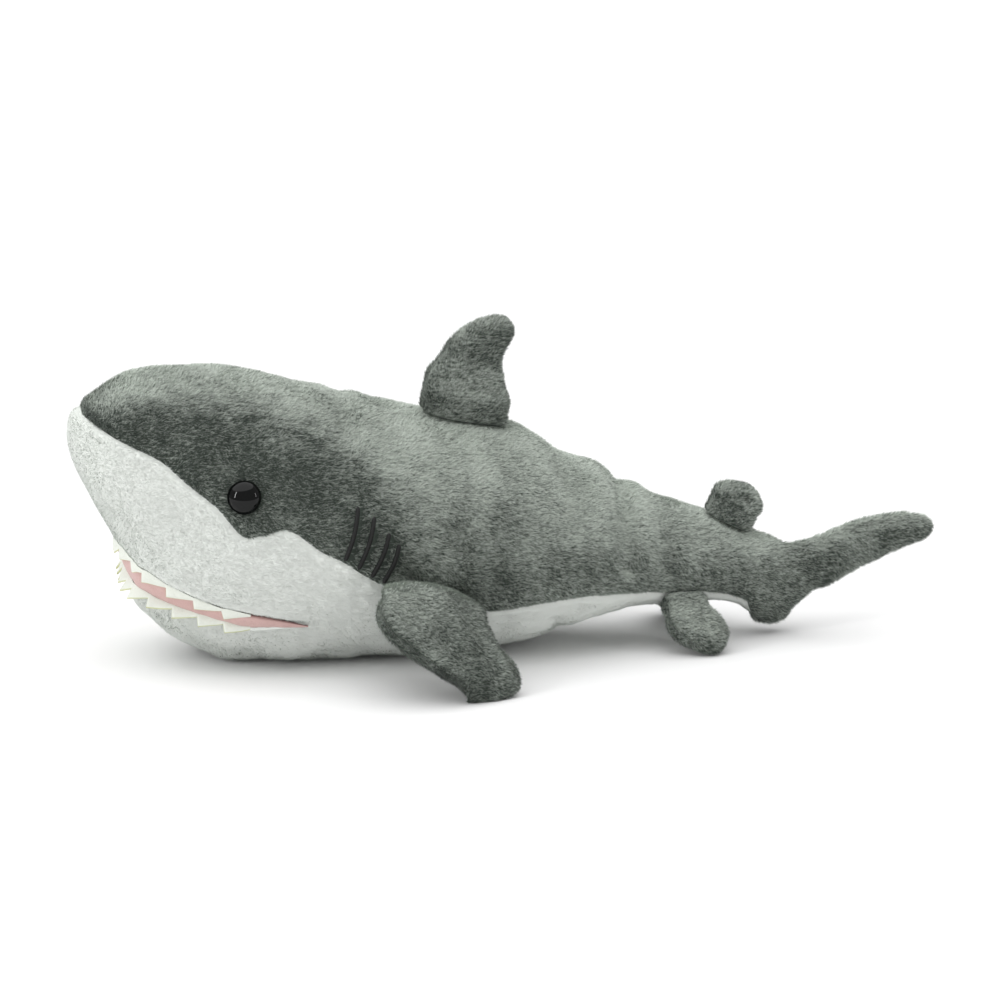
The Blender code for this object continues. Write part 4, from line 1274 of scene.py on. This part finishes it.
@dataclass
class Mouth:
    """The pink panel between the lips and the two saw-edged strips of felt teeth."""

    teeth: int = 14
    felt: float = 0.0013
    teeth_end: float = 0.192
    upper_length: float = 0.0072
    lower_length: float = 0.0080
    notch: float = 0.0020
    upper_flare: float = math.radians(7)
    lower_flare: float = math.radians(40)

    def lip_path(self, line: Profile, last: float, count: int) -> Array:
        """Evenly spaced points along a lip, from its left end round the front to its right.

        At each station the lip lies where the body is as high as the line, half the body's
        width there to each side.

        Args:
            line: The lip.
            last: Station of both ends.
            count: Number of points.

        Returns:
            Points of shape (count, 3).
        """
        station = 0.04 + (last - 0.04) * np.linspace(0, 1, 4000) ** 1.6
        height = line(station) * FORM.height
        half = FORM.half_width(station, height)
        first = int(np.max(np.nonzero(half <= 0)[0], initial=-1)) + 1
        left = np.stack([FORM.x(station), -half, height], -1)[first:]
        left[0, 1] = 0.0
        right = left * np.array([1.0, -1.0, 1.0])
        path = np.concatenate([left[::-1], right[1:]])
        run = np.concatenate([[0], np.cumsum(np.linalg.norm(np.diff(path, axis=0), axis=1))])
        even = np.linspace(0, run[-1], count)
        return np.stack([np.interp(even, run, path[:, k]) for k in range(3)], -1)

    def outwards(self, path: Array) -> Array:
        """Level unit vectors square to a path round the mouth, away from its middle."""
        along = unit(np.gradient(path, axis=0) * np.array([1.0, 1.0, 0.0]))
        outward = np.stack([along[:, 1], -along[:, 0], 0 * along[:, 0]], -1)
        return outward * np.sign((outward * (path - path.mean(0))).sum(-1).mean())

    def band(self) -> None:
        """Makes the pink panel: straight across from lip to lip, padded in the middle.

        Points run from the upper lip's path to the lower one's and a little past both, where
        the panel turns in under the plush.
        """
        count = 420
        upper = self.lip_path(UPPER_LIP, MOUTH_CORNER, count)
        lower = self.lip_path(LOWER_LIP, MOUTH_CORNER, count)
        outward = self.outwards((upper + lower) / 2)
        t = np.linspace(-0.2, 1.2, 25)[None, :, None]
        points = upper[:, None, :] + (lower - upper)[:, None, :] * t
        gap = np.linalg.norm(upper - lower, axis=1)[:, None, None]
        past = np.maximum(np.abs(2 * t - 1) - 1, 0)
        crown = (1 - np.clip(2 * t - 1, -1, 1) ** 2) * smooth(gap, 0.001, 0.008)
        out = 0.0016 * crown - 0.0024 - 0.012 * past
        points = points + outward[:, None, :] * out
        points += outward[:, None, :] * (0.0002 * lumps(points, 0.006, 0.015, 12, 71))[..., None]
        # The crease field rises to both lips and marks where the lining's shade is painted.
        crease = np.broadcast_to(np.abs(2 * t - 1)[..., 0], points.shape[:2])
        if (grid_normals(points, False) * outward[:, None, :]).sum() < 0:
            points = points[:, ::-1]
        made = piece_from("mouth_lining", Sheet(points, False, fields={"crease": crease}))
        made.data.materials.append(LiningFinish().material())
        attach(made, "trunk")
        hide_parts("mouth_panel")
        LOG.info("mouth lining: %d points", len(made.data.vertices))

    def saw(self, count: int, steps: int, length: float, seed: int) -> Array:
        """Strip width at each path point: teeth that are steep towards the front.

        The width jumps from the notch to the tooth's tip on the side that faces the front of
        the mouth and falls in a straight line to the next notch. Teeth get smaller to both
        ends, and each differs a little.

        Args:
            count: Number of path points.
            steps: Path points per tooth.
            length: Longest tooth.
            seed: Seed of the differences.

        Returns:
            Widths in metres.
        """
        rng = np.random.default_rng(seed)
        k = np.arange(count)
        middle = (count - 1) / 2
        away = np.abs(k - middle)
        phase = (away % steps) / steps
        rise = 2.0 / steps
        saw = np.where(phase < rise, phase / rise, 1 - (phase - rise) / (1 - rise))
        size = 1 - 0.42 * (away / middle) ** 2
        tooth = (k // steps).astype(int)
        own = 1 + rng.uniform(-0.1, 0.1, tooth.max() + 1)[tooth]
        return self.notch * size + (length - self.notch) * saw * size * own

    def strip(self, name: str, line: Profile, lift: float, out: float, flare: float,
              length: float, seed: int) -> None:
        """Makes one strip of teeth.

        A rounded rectangle of the felt's thickness is carried along the lip. Its long side
        hangs from the lip, turned outwards by the flare, and its width is the saw's.

        Args:
            name: The strip's name.
            line: The lip that holds it.
            lift: Height of its root over the lip.
            out: Distance of its root from the plain form.
            flare: Turn outwards from straight down.
            length: Longest tooth.
            seed: Seed of the teeth's differences.
        """
        steps = 14
        count = self.teeth * steps + 1
        path = self.lip_path(line, self.teeth_end, count)
        along = unit(np.gradient(path, axis=0))
        outward = self.outwards(path)
        curl = flare + 0.10 * lumps(path, 0.02, 0.04, 6, seed)
        down = unit(np.cross(along, np.cross(np.array([0, 0, -1.0]), along)))
        aim = unit(outward * np.sin(curl)[:, None] + down * np.cos(curl)[:, None])
        thick = unit(np.cross(along, aim))
        thick *= np.sign((thick * outward).sum(-1, keepdims=True))
        root = path + outward * out + np.array([0, 0, lift])
        width = self.saw(count, steps, length, seed)
        reach = np.array([-0.10, 0.25, 0.6, 0.92, 1.0, 1.0, 0.92, 0.6, 0.25, -0.10])
        layer = np.array([1, 1, 1, 0.9, 0.45, -0.45, -0.9, -1, -1, -1]) * self.felt / 2
        cut = np.array([0, 0, 0, 0.35, 1, 1, 0.6, 0, 0, 0], float)
        bend = 0.0009 * reach**2
        ring = (
            root[:, None, :]
            + aim[:, None, :] * (width[:, None] * reach[None, :])[..., None]
            + thick[:, None, :] * (layer - bend)[None, :, None]
        )
        fields = {"cut": np.broadcast_to(cut, ring.shape[:2])}
        centre = ring.mean(1)
        sheet = Sheet(ring, True, centre[0], centre[-1], fields)
        made = piece_from(f"felt_{name}", sheet)
        normal = grid_normals(ring, True)
        if (normal * (ring - centre[:, None, :])).sum() < 0:
            made.data.flip_normals()
        made.data.set_sharp_from_angle(angle=math.radians(50))
        made.data.materials.append(FeltFinish().material())
        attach(made, "trunk")
        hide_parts(name)
        LOG.info("%s: %d teeth", name, self.teeth)

    def build(self) -> None:
        """Makes the panel and both strips."""
        self.band()
        self.strip("upper_teeth", UPPER_LIP, lift=0.0004, out=-0.0018,
                   flare=self.upper_flare, length=self.upper_length, seed=51)
        self.strip("lower_teeth", LOWER_LIP, lift=0.0010, out=-0.0015,
                   flare=self.lower_flare, length=self.lower_length, seed=52)


# ---------------------------------------------------------------------------------------
# Eyes


@dataclass
class Eyes:
    """Domed snap-in eyes, each on its post, and their lock washers."""

    radius: float = 0.0085
    dome: float = 0.0062
    rim: float = 0.0011
    seat: float = 0.0028
    post_radius: float = 0.0022
    post_length: float = 0.0095

    def profile(self) -> Array:
        """Radius and height of the turned outline: post, flat back, rounded rim, dome."""
        turn = np.linspace(-np.pi / 2, 0, 8)
        edge = self.rim / 2
        rim = np.stack([self.radius - edge + edge * np.cos(turn),
                        edge + edge * np.sin(turn)], -1)
        arc = np.linspace(0, np.pi / 2, 40)[1:-1]
        rise = self.dome - edge
        dome = np.stack([self.radius * np.cos(arc), edge + rise * np.sin(arc) ** 1.05], -1)
        post = np.array([
            (self.post_radius * 0.7, -self.post_length),
            (self.post_radius, -self.post_length + 0.0006),
            (self.post_radius, -0.0004),
            (self.post_radius + 0.0004, 0.0),
        ])
        return np.concatenate([post, rim, dome])

    def build(self) -> None:
        """Turns each eye about its post's axis and seats it in the plush."""
        material = EyeFinish().material()
        washer = WasherFinish().material()
        turn = np.linspace(0, 2 * np.pi, 65)[:-1]
        outline = self.profile()
        for side in Side:
            point, normal = FORM.on_side(*EYE_PLACE, side)
            first = unit(np.cross(normal, np.array([0.0, 0.0, 1.0])))
            second = np.cross(normal, first)
            base = point - normal * self.seat
            spin = np.cos(turn)[:, None] * first + np.sin(turn)[:, None] * second
            ring = (
                base
                + outline[:, 1][:, None, None] * normal
                + outline[:, 0][:, None, None] * spin[None]
            )
            low = base - normal * self.post_length
            high = base + normal * self.dome
            made = piece_from(f"domed_eye_{side.word}", Sheet(ring[:, ::-1], True, low, high))
            made.data.materials.append(material)
            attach(made, "trunk")
            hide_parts(f"eye_{side.word}")
            node = frame["nodes"][f"eye_washer_{side.word}"]
            node.data.materials.clear()
            node.data.materials.append(washer)
            LOG.info("%s: %d points", made.name, len(made.data.vertices))


# ---------------------------------------------------------------------------------------
# Fins


@dataclass
class Fin:
    """One stuffed fin: a pillow of two plush faces sewn round its rim.

    Attributes:
        name: The CAD body's name.
        joint: The joint at its root.
        parent: The body it is sewn to; not used.
        span: Length from the root line to the tip.
        rows: (share of span, front edge, rear edge, half thickness) knots.
        bend: Total turn of its middle line towards its underside.
        bend_from: Share of the span where the turn starts.
        bend_to: Share of the span where the turn ends.
        bend_skew: How much further out the turn lies at the front edge, as a share.
        cad_bend: The even turn of the CAD fin, for finding the root's direction.
        tip_round: Share of the span over which the tip rounds off.
        puckers: (share of span, share of chord, radius, depth) dimples of both faces.
        density: Fibres per square millimetre.
        pile_length: Fibre length.
        root_depth: Length sewn into the parent body behind the root line.
        lift: Turn of the root's direction upwards, which the bend takes back.
        flare: How much thicker the fin gets where it is sewn on.
    """

    name: str
    joint: str
    parent: str
    span: float
    rows: tuple[tuple[float, float, float, float], ...]
    bend: float = 0.0
    bend_from: float = 0.0
    bend_to: float = 1.0
    bend_skew: float = 0.0
    cad_bend: float = 0.0
    tip_round: float = 0.3
    puckers: tuple[tuple[float, float, float, float], ...] = ()
    density: float = 5.0
    pile_length: float = 0.0024
    root_depth: float = 0.008
    lift: float = 0.0
    flare: float = 0.001
    rings: int = 90
    columns: int = 96
    seed: int = 100

    def root_frame(self) -> tuple[Array, Array, Array, Array]:
        """The root's place and axes, read from the frame.

        X runs along the joint's axis towards the tail. The far end of the CAD filling, turned
        back by half its even bend, gives Z; its distance outwards gives the direction.

        Returns:
            Origin, X, Y and Z. Y points up on a side fin and to the right on a back fin.
        """
        joint = joint_named(self.joint)
        origin = np.array(joint["pos_m"], float)
        x = unit(np.array(joint["axis"], float))
        x = x if x[0] > 0 else -x
        node = frame["nodes"][f"{self.name}_filling"]
        places = np.zeros(len(node.data.vertices) * 3, np.float32)
        node.data.vertices.foreach_get("co", places)
        offset = places.reshape(-1, 3) - origin
        radial = offset - (offset @ x)[:, None] * x
        away = np.linalg.norm(radial, axis=1)
        far = unit(radial[away > 0.93 * away.max()].mean(0))
        side = self.side_sign()
        up = np.cross(far, x) * side
        drop = self.cad_bend / 2 + self.lift
        z = unit(far * math.cos(drop) + up * math.sin(drop))
        y = np.cross(z, x) * side
        return origin, x, y, z

    def side_sign(self) -> int:
        """1 for a left or middle fin, -1 for a right one."""
        return -1 if self.name.endswith("right") else 1

    def shape(self) -> tuple[Array, Array, Array]:
        """Works out the pillow's grid.

        Each ring is a superellipse across the chord. Chord and thickness shrink towards the
        tip as the root of one minus the square of the rounding's share. The middle line turns
        down between two shares of the span.

        Returns:
            Points in the root's frame, the share of the span and the angle round the ring.
        """
        knots = np.array(self.rows)
        turn = np.linspace(0, np.pi / 2, self.rings)
        root = -self.root_depth / self.span
        share = np.concatenate([np.linspace(root, 0, 12)[:-1], np.sin(turn)])
        share = np.minimum(share, 0.9996)
        clipped = np.clip(share, 0, 1)
        front, rear, half = (
            cubic_through(knots[:, 0], knots[:, k], np.gradient(knots[:, k], knots[:, 0]), clipped)
            for k in (1, 2, 3)
        )
        start = 1 - self.tip_round
        cap = np.sqrt(1 - np.clip((clipped - start) / (1 - start), 0, 1) ** 2)
        centre = (front + rear) / 2
        chord = (rear - front) / 2 * np.maximum(cap, 1e-4)
        half = half * np.maximum(cap, 1e-4) ** 0.75
        flare = np.where(share > 0, bump(share * self.span, 0.011), 1.0) * self.flare
        chord, half = chord + flare * 0.25, half + flare
        angle = 2 * np.pi * np.arange(self.columns) / self.columns
        across = signed_power(np.cos(angle), 0.82)[None, :]
        place = share[:, None] + self.bend_skew * across
        lean = self.bend * smooth(place, self.bend_from, self.bend_to)
        length = share * self.span
        step = np.diff(length, prepend=length[0])[:, None]
        out = length[0] + np.cumsum(step * np.cos(lean), axis=0)
        drop = np.cumsum(step * np.sin(lean), axis=0)
        face = signed_power(np.sin(angle), 0.88)[None, :]
        rim = 1 - 0.10 * bump(np.abs(np.cos(angle)) - 1, 0.05)[None, :]
        x = centre[:, None] + across * rim * chord[:, None]
        fat = face * half[:, None]
        for at, over, radius, depth in self.puckers:
            away = np.hypot((share[:, None] - at) * self.span, (across - over) * chord[:, None])
            fat = fat - np.sign(fat) * depth * bump(away, radius) * np.abs(face)
        y = -drop + fat * np.cos(lean)
        z = out + fat * np.sin(lean)
        points = np.stack([x, y, z], -1)
        return points, share[:, None] + 0 * across, angle[None, :] + 0 * share[:, None]

    def build(self) -> None:
        """Makes the fin's skin and its pile in place of the CAD fin."""
        origin, ax, ay, az = self.root_frame()
        local, share, angle = self.shape()
        basis = np.stack([ax, ay, az])
        points = origin + local @ basis
        if self.side_sign() < 0:
            points = points[:, ::-1]
            share, angle = share[:, ::-1], angle[:, ::-1]
        normal = grid_normals(points, True)
        centre = points.mean(1, keepdims=True)
        if (normal * (points - centre)).sum() < 0:
            points, share, angle = points[:, ::-1], share[:, ::-1], angle[:, ::-1]
            normal = grid_normals(points, True)
        seam = np.minimum(np.abs(np.sin(angle)), 1.0) * 0.012
        fade = smooth(share, -0.05, 0.12)
        raised = fade * (-0.0006 * bump(seam, 0.0012) + 0.0003 * bump(seam - 0.004, 0.002))
        raised += 0.00030 * lumps(points, 0.008, 0.02, 16, self.seed)
        raised += 0.00035 * lumps(points, 0.02, 0.05, 12, self.seed + 1)
        points = points + normal * raised[..., None]
        points[..., 2] = np.maximum(points[..., 2], GROUND)
        tip = points[-1].mean(0)
        inner = points[0].mean(0)
        grey = np.full(points.shape[:2], 1.0)
        # Painted light from above: the fin's pile is paler where it faces up.
        upward = 0.62 * smooth(grid_normals(points, True)[..., 2], -0.1, 0.95) - 0.05
        sheet = Sheet(points, True, inner, tip, {"grey": grey, "sky": upward})
        skin = piece_from(f"plush_{self.name}", sheet)
        skin.data.materials.append(PlushFinish(f"backing_{self.name}", fibre=False).material())
        nap = np.broadcast_to(az * 0.75 + ax * 0.6, points.shape)
        nap = nap + 0.3 * np.stack(
            [lumps(points, 0.012, 0.03, 8, self.seed + 2 + k) for k in range(3)], -1
        )
        cover = np.ones_like(share)
        reach = 1 - 0.3 * bump(seam, 0.0010)
        pile = Pile(self.density, length=self.pile_length, seed=self.seed)
        coat = pile.coat(f"grey_pile_{self.name}", sheet, nap, cover, reach,
                         PlushFinish(f"grey_pile_{self.name}"))
        start = origin - az * 0.004
        end = origin + az * 0.009
        for piece in (skin, coat):
            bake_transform(piece)
        nodes = [n for n in frame["nodes"] if n.startswith(f"{self.name}_")]
        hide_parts(*nodes)
        LOG.info("%s: %d points", skin.name, len(skin.data.vertices))


@dataclass
class Fins:
    """All six fins."""

    dorsal_rows: tuple[tuple[float, float, float, float], ...] = (
        (0.00, -0.0225, 0.0228, 0.0120), (0.20, -0.0213, 0.0182, 0.0098),
        (0.42, -0.0172, 0.0149, 0.0083), (0.56, -0.0142, 0.0144, 0.0078),
        (0.70, -0.0106, 0.0163, 0.0072), (0.85, -0.0064, 0.0178, 0.0064),
        (1.00, -0.0012, 0.0172, 0.0056),
    )
    second_rows: tuple[tuple[float, float, float, float], ...] = (
        (0.00, -0.0148, 0.0112, 0.0098), (0.30, -0.0156, 0.0120, 0.0100),
        (0.70, -0.0156, 0.0120, 0.0096), (1.00, -0.0150, 0.0115, 0.0090),
    )
    pectoral_rows: tuple[tuple[float, float, float, float], ...] = (
        (0.00, -0.0280, 0.0230, 0.0095), (0.15, -0.0345, 0.0250, 0.0105),
        (0.35, -0.0385, 0.0320, 0.0100), (0.60, -0.0375, 0.0440, 0.0092),
        (0.80, -0.0310, 0.0500, 0.0082), (1.00, -0.0200, 0.0500, 0.0070),
    )
    pelvic_rows: tuple[tuple[float, float, float, float], ...] = (
        (0.00, -0.0125, 0.0120, 0.0056), (0.35, -0.0135, 0.0160, 0.0068),
        (0.70, -0.0085, 0.0180, 0.0066), (1.00, -0.0020, 0.0160, 0.0058),
    )

    def build(self) -> None:
        """Builds the fins one after another."""
        Fin("dorsal_fin", "dorsal_fin_lean", "trunk", span=0.0420, rows=self.dorsal_rows,
            tip_round=0.20, puckers=((0.40, 0.55, 0.0022, 0.0014),), flare=0.0028,
            root_depth=0.011, seed=200).build()
        Fin("second_dorsal_fin", "second_dorsal_fin_lean", "tail", span=0.0118,
            rows=self.second_rows, tip_round=1.0, puckers=((0.45, 0.20, 0.0022, 0.0035),),
            root_depth=0.0085, seed=220).build()
        for side in Side:
            offset = 0 if side is Side.LEFT else 10
            name = f"pectoral_fin_{side.word}"
            Fin(name, f"{name}_flap", "trunk", span=0.0500, rows=self.pectoral_rows,
                bend=math.radians(58), bend_from=0.12, bend_to=0.28, bend_skew=0.13,
                cad_bend=math.radians(34), lift=math.radians(31), tip_round=0.48,
                seed=240 + offset).build()
            name = f"pelvic_fin_{side.word}"
            Fin(name, f"{name}_flap", "tail", span=0.0240, rows=self.pelvic_rows,
                bend=math.radians(6), cad_bend=math.radians(6), tip_round=0.5,
                seed=270 + offset).build()


# ---------------------------------------------------------------------------------------
# Studio


@dataclass
class Studio:
    """White sweep, soft lights and the camera at the toy's left, slightly above it."""

    azimuth: float = math.radians(-8)
    elevation: float = math.radians(15)
    distance: float = 4.0
    lens: float = 284.0
    aim: tuple[float, float, float] = (-0.0030, 0.0, 0.0745)
    air: float = 0.45
    ceiling: float = 2.3
    ceiling_breadth: float = math.radians(95)

    def camera(self) -> None:
        """Places the camera on a sphere round its aim."""
        flat = math.cos(self.elevation)
        back = Vector((
            math.sin(self.azimuth) * flat,
            -math.cos(self.azimuth) * flat,
            math.sin(self.elevation),
        ))
        data = bpy.data.cameras.new("camera")
        data.lens = self.lens
        data.sensor_width = 36.0
        data.clip_end = 20.0
        made = bpy.data.objects.new("camera", data)
        made.location = Vector(self.aim) + back * self.distance
        made.rotation_euler = (-back).to_track_quat("-Z", "Y").to_euler()
        bpy.context.scene.collection.objects.link(made)
        bpy.context.scene.camera = made

    def lamp(self, name: str, at: Sequence[float], size: Sequence[float], power: float) -> None:
        """Adds a rectangular soft light that faces the toy.

        Args:
            name: The light's name.
            at: Its place.
            size: Its width and height.
            power: Its power in watts.
        """
        data = bpy.data.lights.new(name, "AREA")
        data.shape = "RECTANGLE"
        data.size, data.size_y = size
        data.energy = power
        made = bpy.data.objects.new(name, data)
        made.location = at
        towards = Vector(self.aim) - Vector(at)
        made.rotation_euler = towards.to_track_quat("-Z", "Y").to_euler()
        bpy.context.scene.collection.objects.link(made)

    def overhead(self) -> None:
        """Adds the broad, even light of the studio's ceiling."""
        data = bpy.data.lights.new("overhead_light", "SUN")
        data.energy = self.ceiling
        data.angle = self.ceiling_breadth
        made = bpy.data.objects.new("overhead_light", data)
        made.rotation_euler = (math.radians(-6), math.radians(-8), 0.0)
        bpy.context.scene.collection.objects.link(made)

    def floor(self) -> None:
        """Lays the white sweep."""
        half = 6.0
        line = np.linspace(-half, half, 3)
        x, y = np.meshgrid(line, line, indexing="ij")
        points = np.stack([x, y, np.zeros_like(x)], -1)[:, ::-1]
        made = piece_from("sweep", Sheet(points, False))
        made.data.materials.append(FloorFinish().material())

    def build(self) -> None:
        """Sets up the world, lights, floor and camera."""
        scene = bpy.context.scene
        world = bpy.data.worlds.new("studio_air")
        world.use_nodes = True
        sky = world.node_tree.nodes["Background"]
        sky.inputs["Color"].default_value = (1.0, 1.0, 1.0, 1.0)
        sky.inputs["Strength"].default_value = self.air
        scene.world = world
        scene.view_settings.view_transform = "Standard"
        self.camera()
        self.floor()
        self.overhead()
        self.lamp("left_softbox", (-1.45, -0.85, 0.75), (0.12, 0.8), 6.5)
        self.lamp("right_softbox", (1.55, -1.0, 0.75), (0.08, 0.6), 3.0)
        LOG.info("studio: camera, floor and three soft lights")


def main() -> None:
    """Builds the scene in order."""
    Studio().build()
    Skin().build()
    GILLS.build()
    Mouth().build()
    Eyes().build()
    Fins().build()


if __name__ == "__main__":
    main()
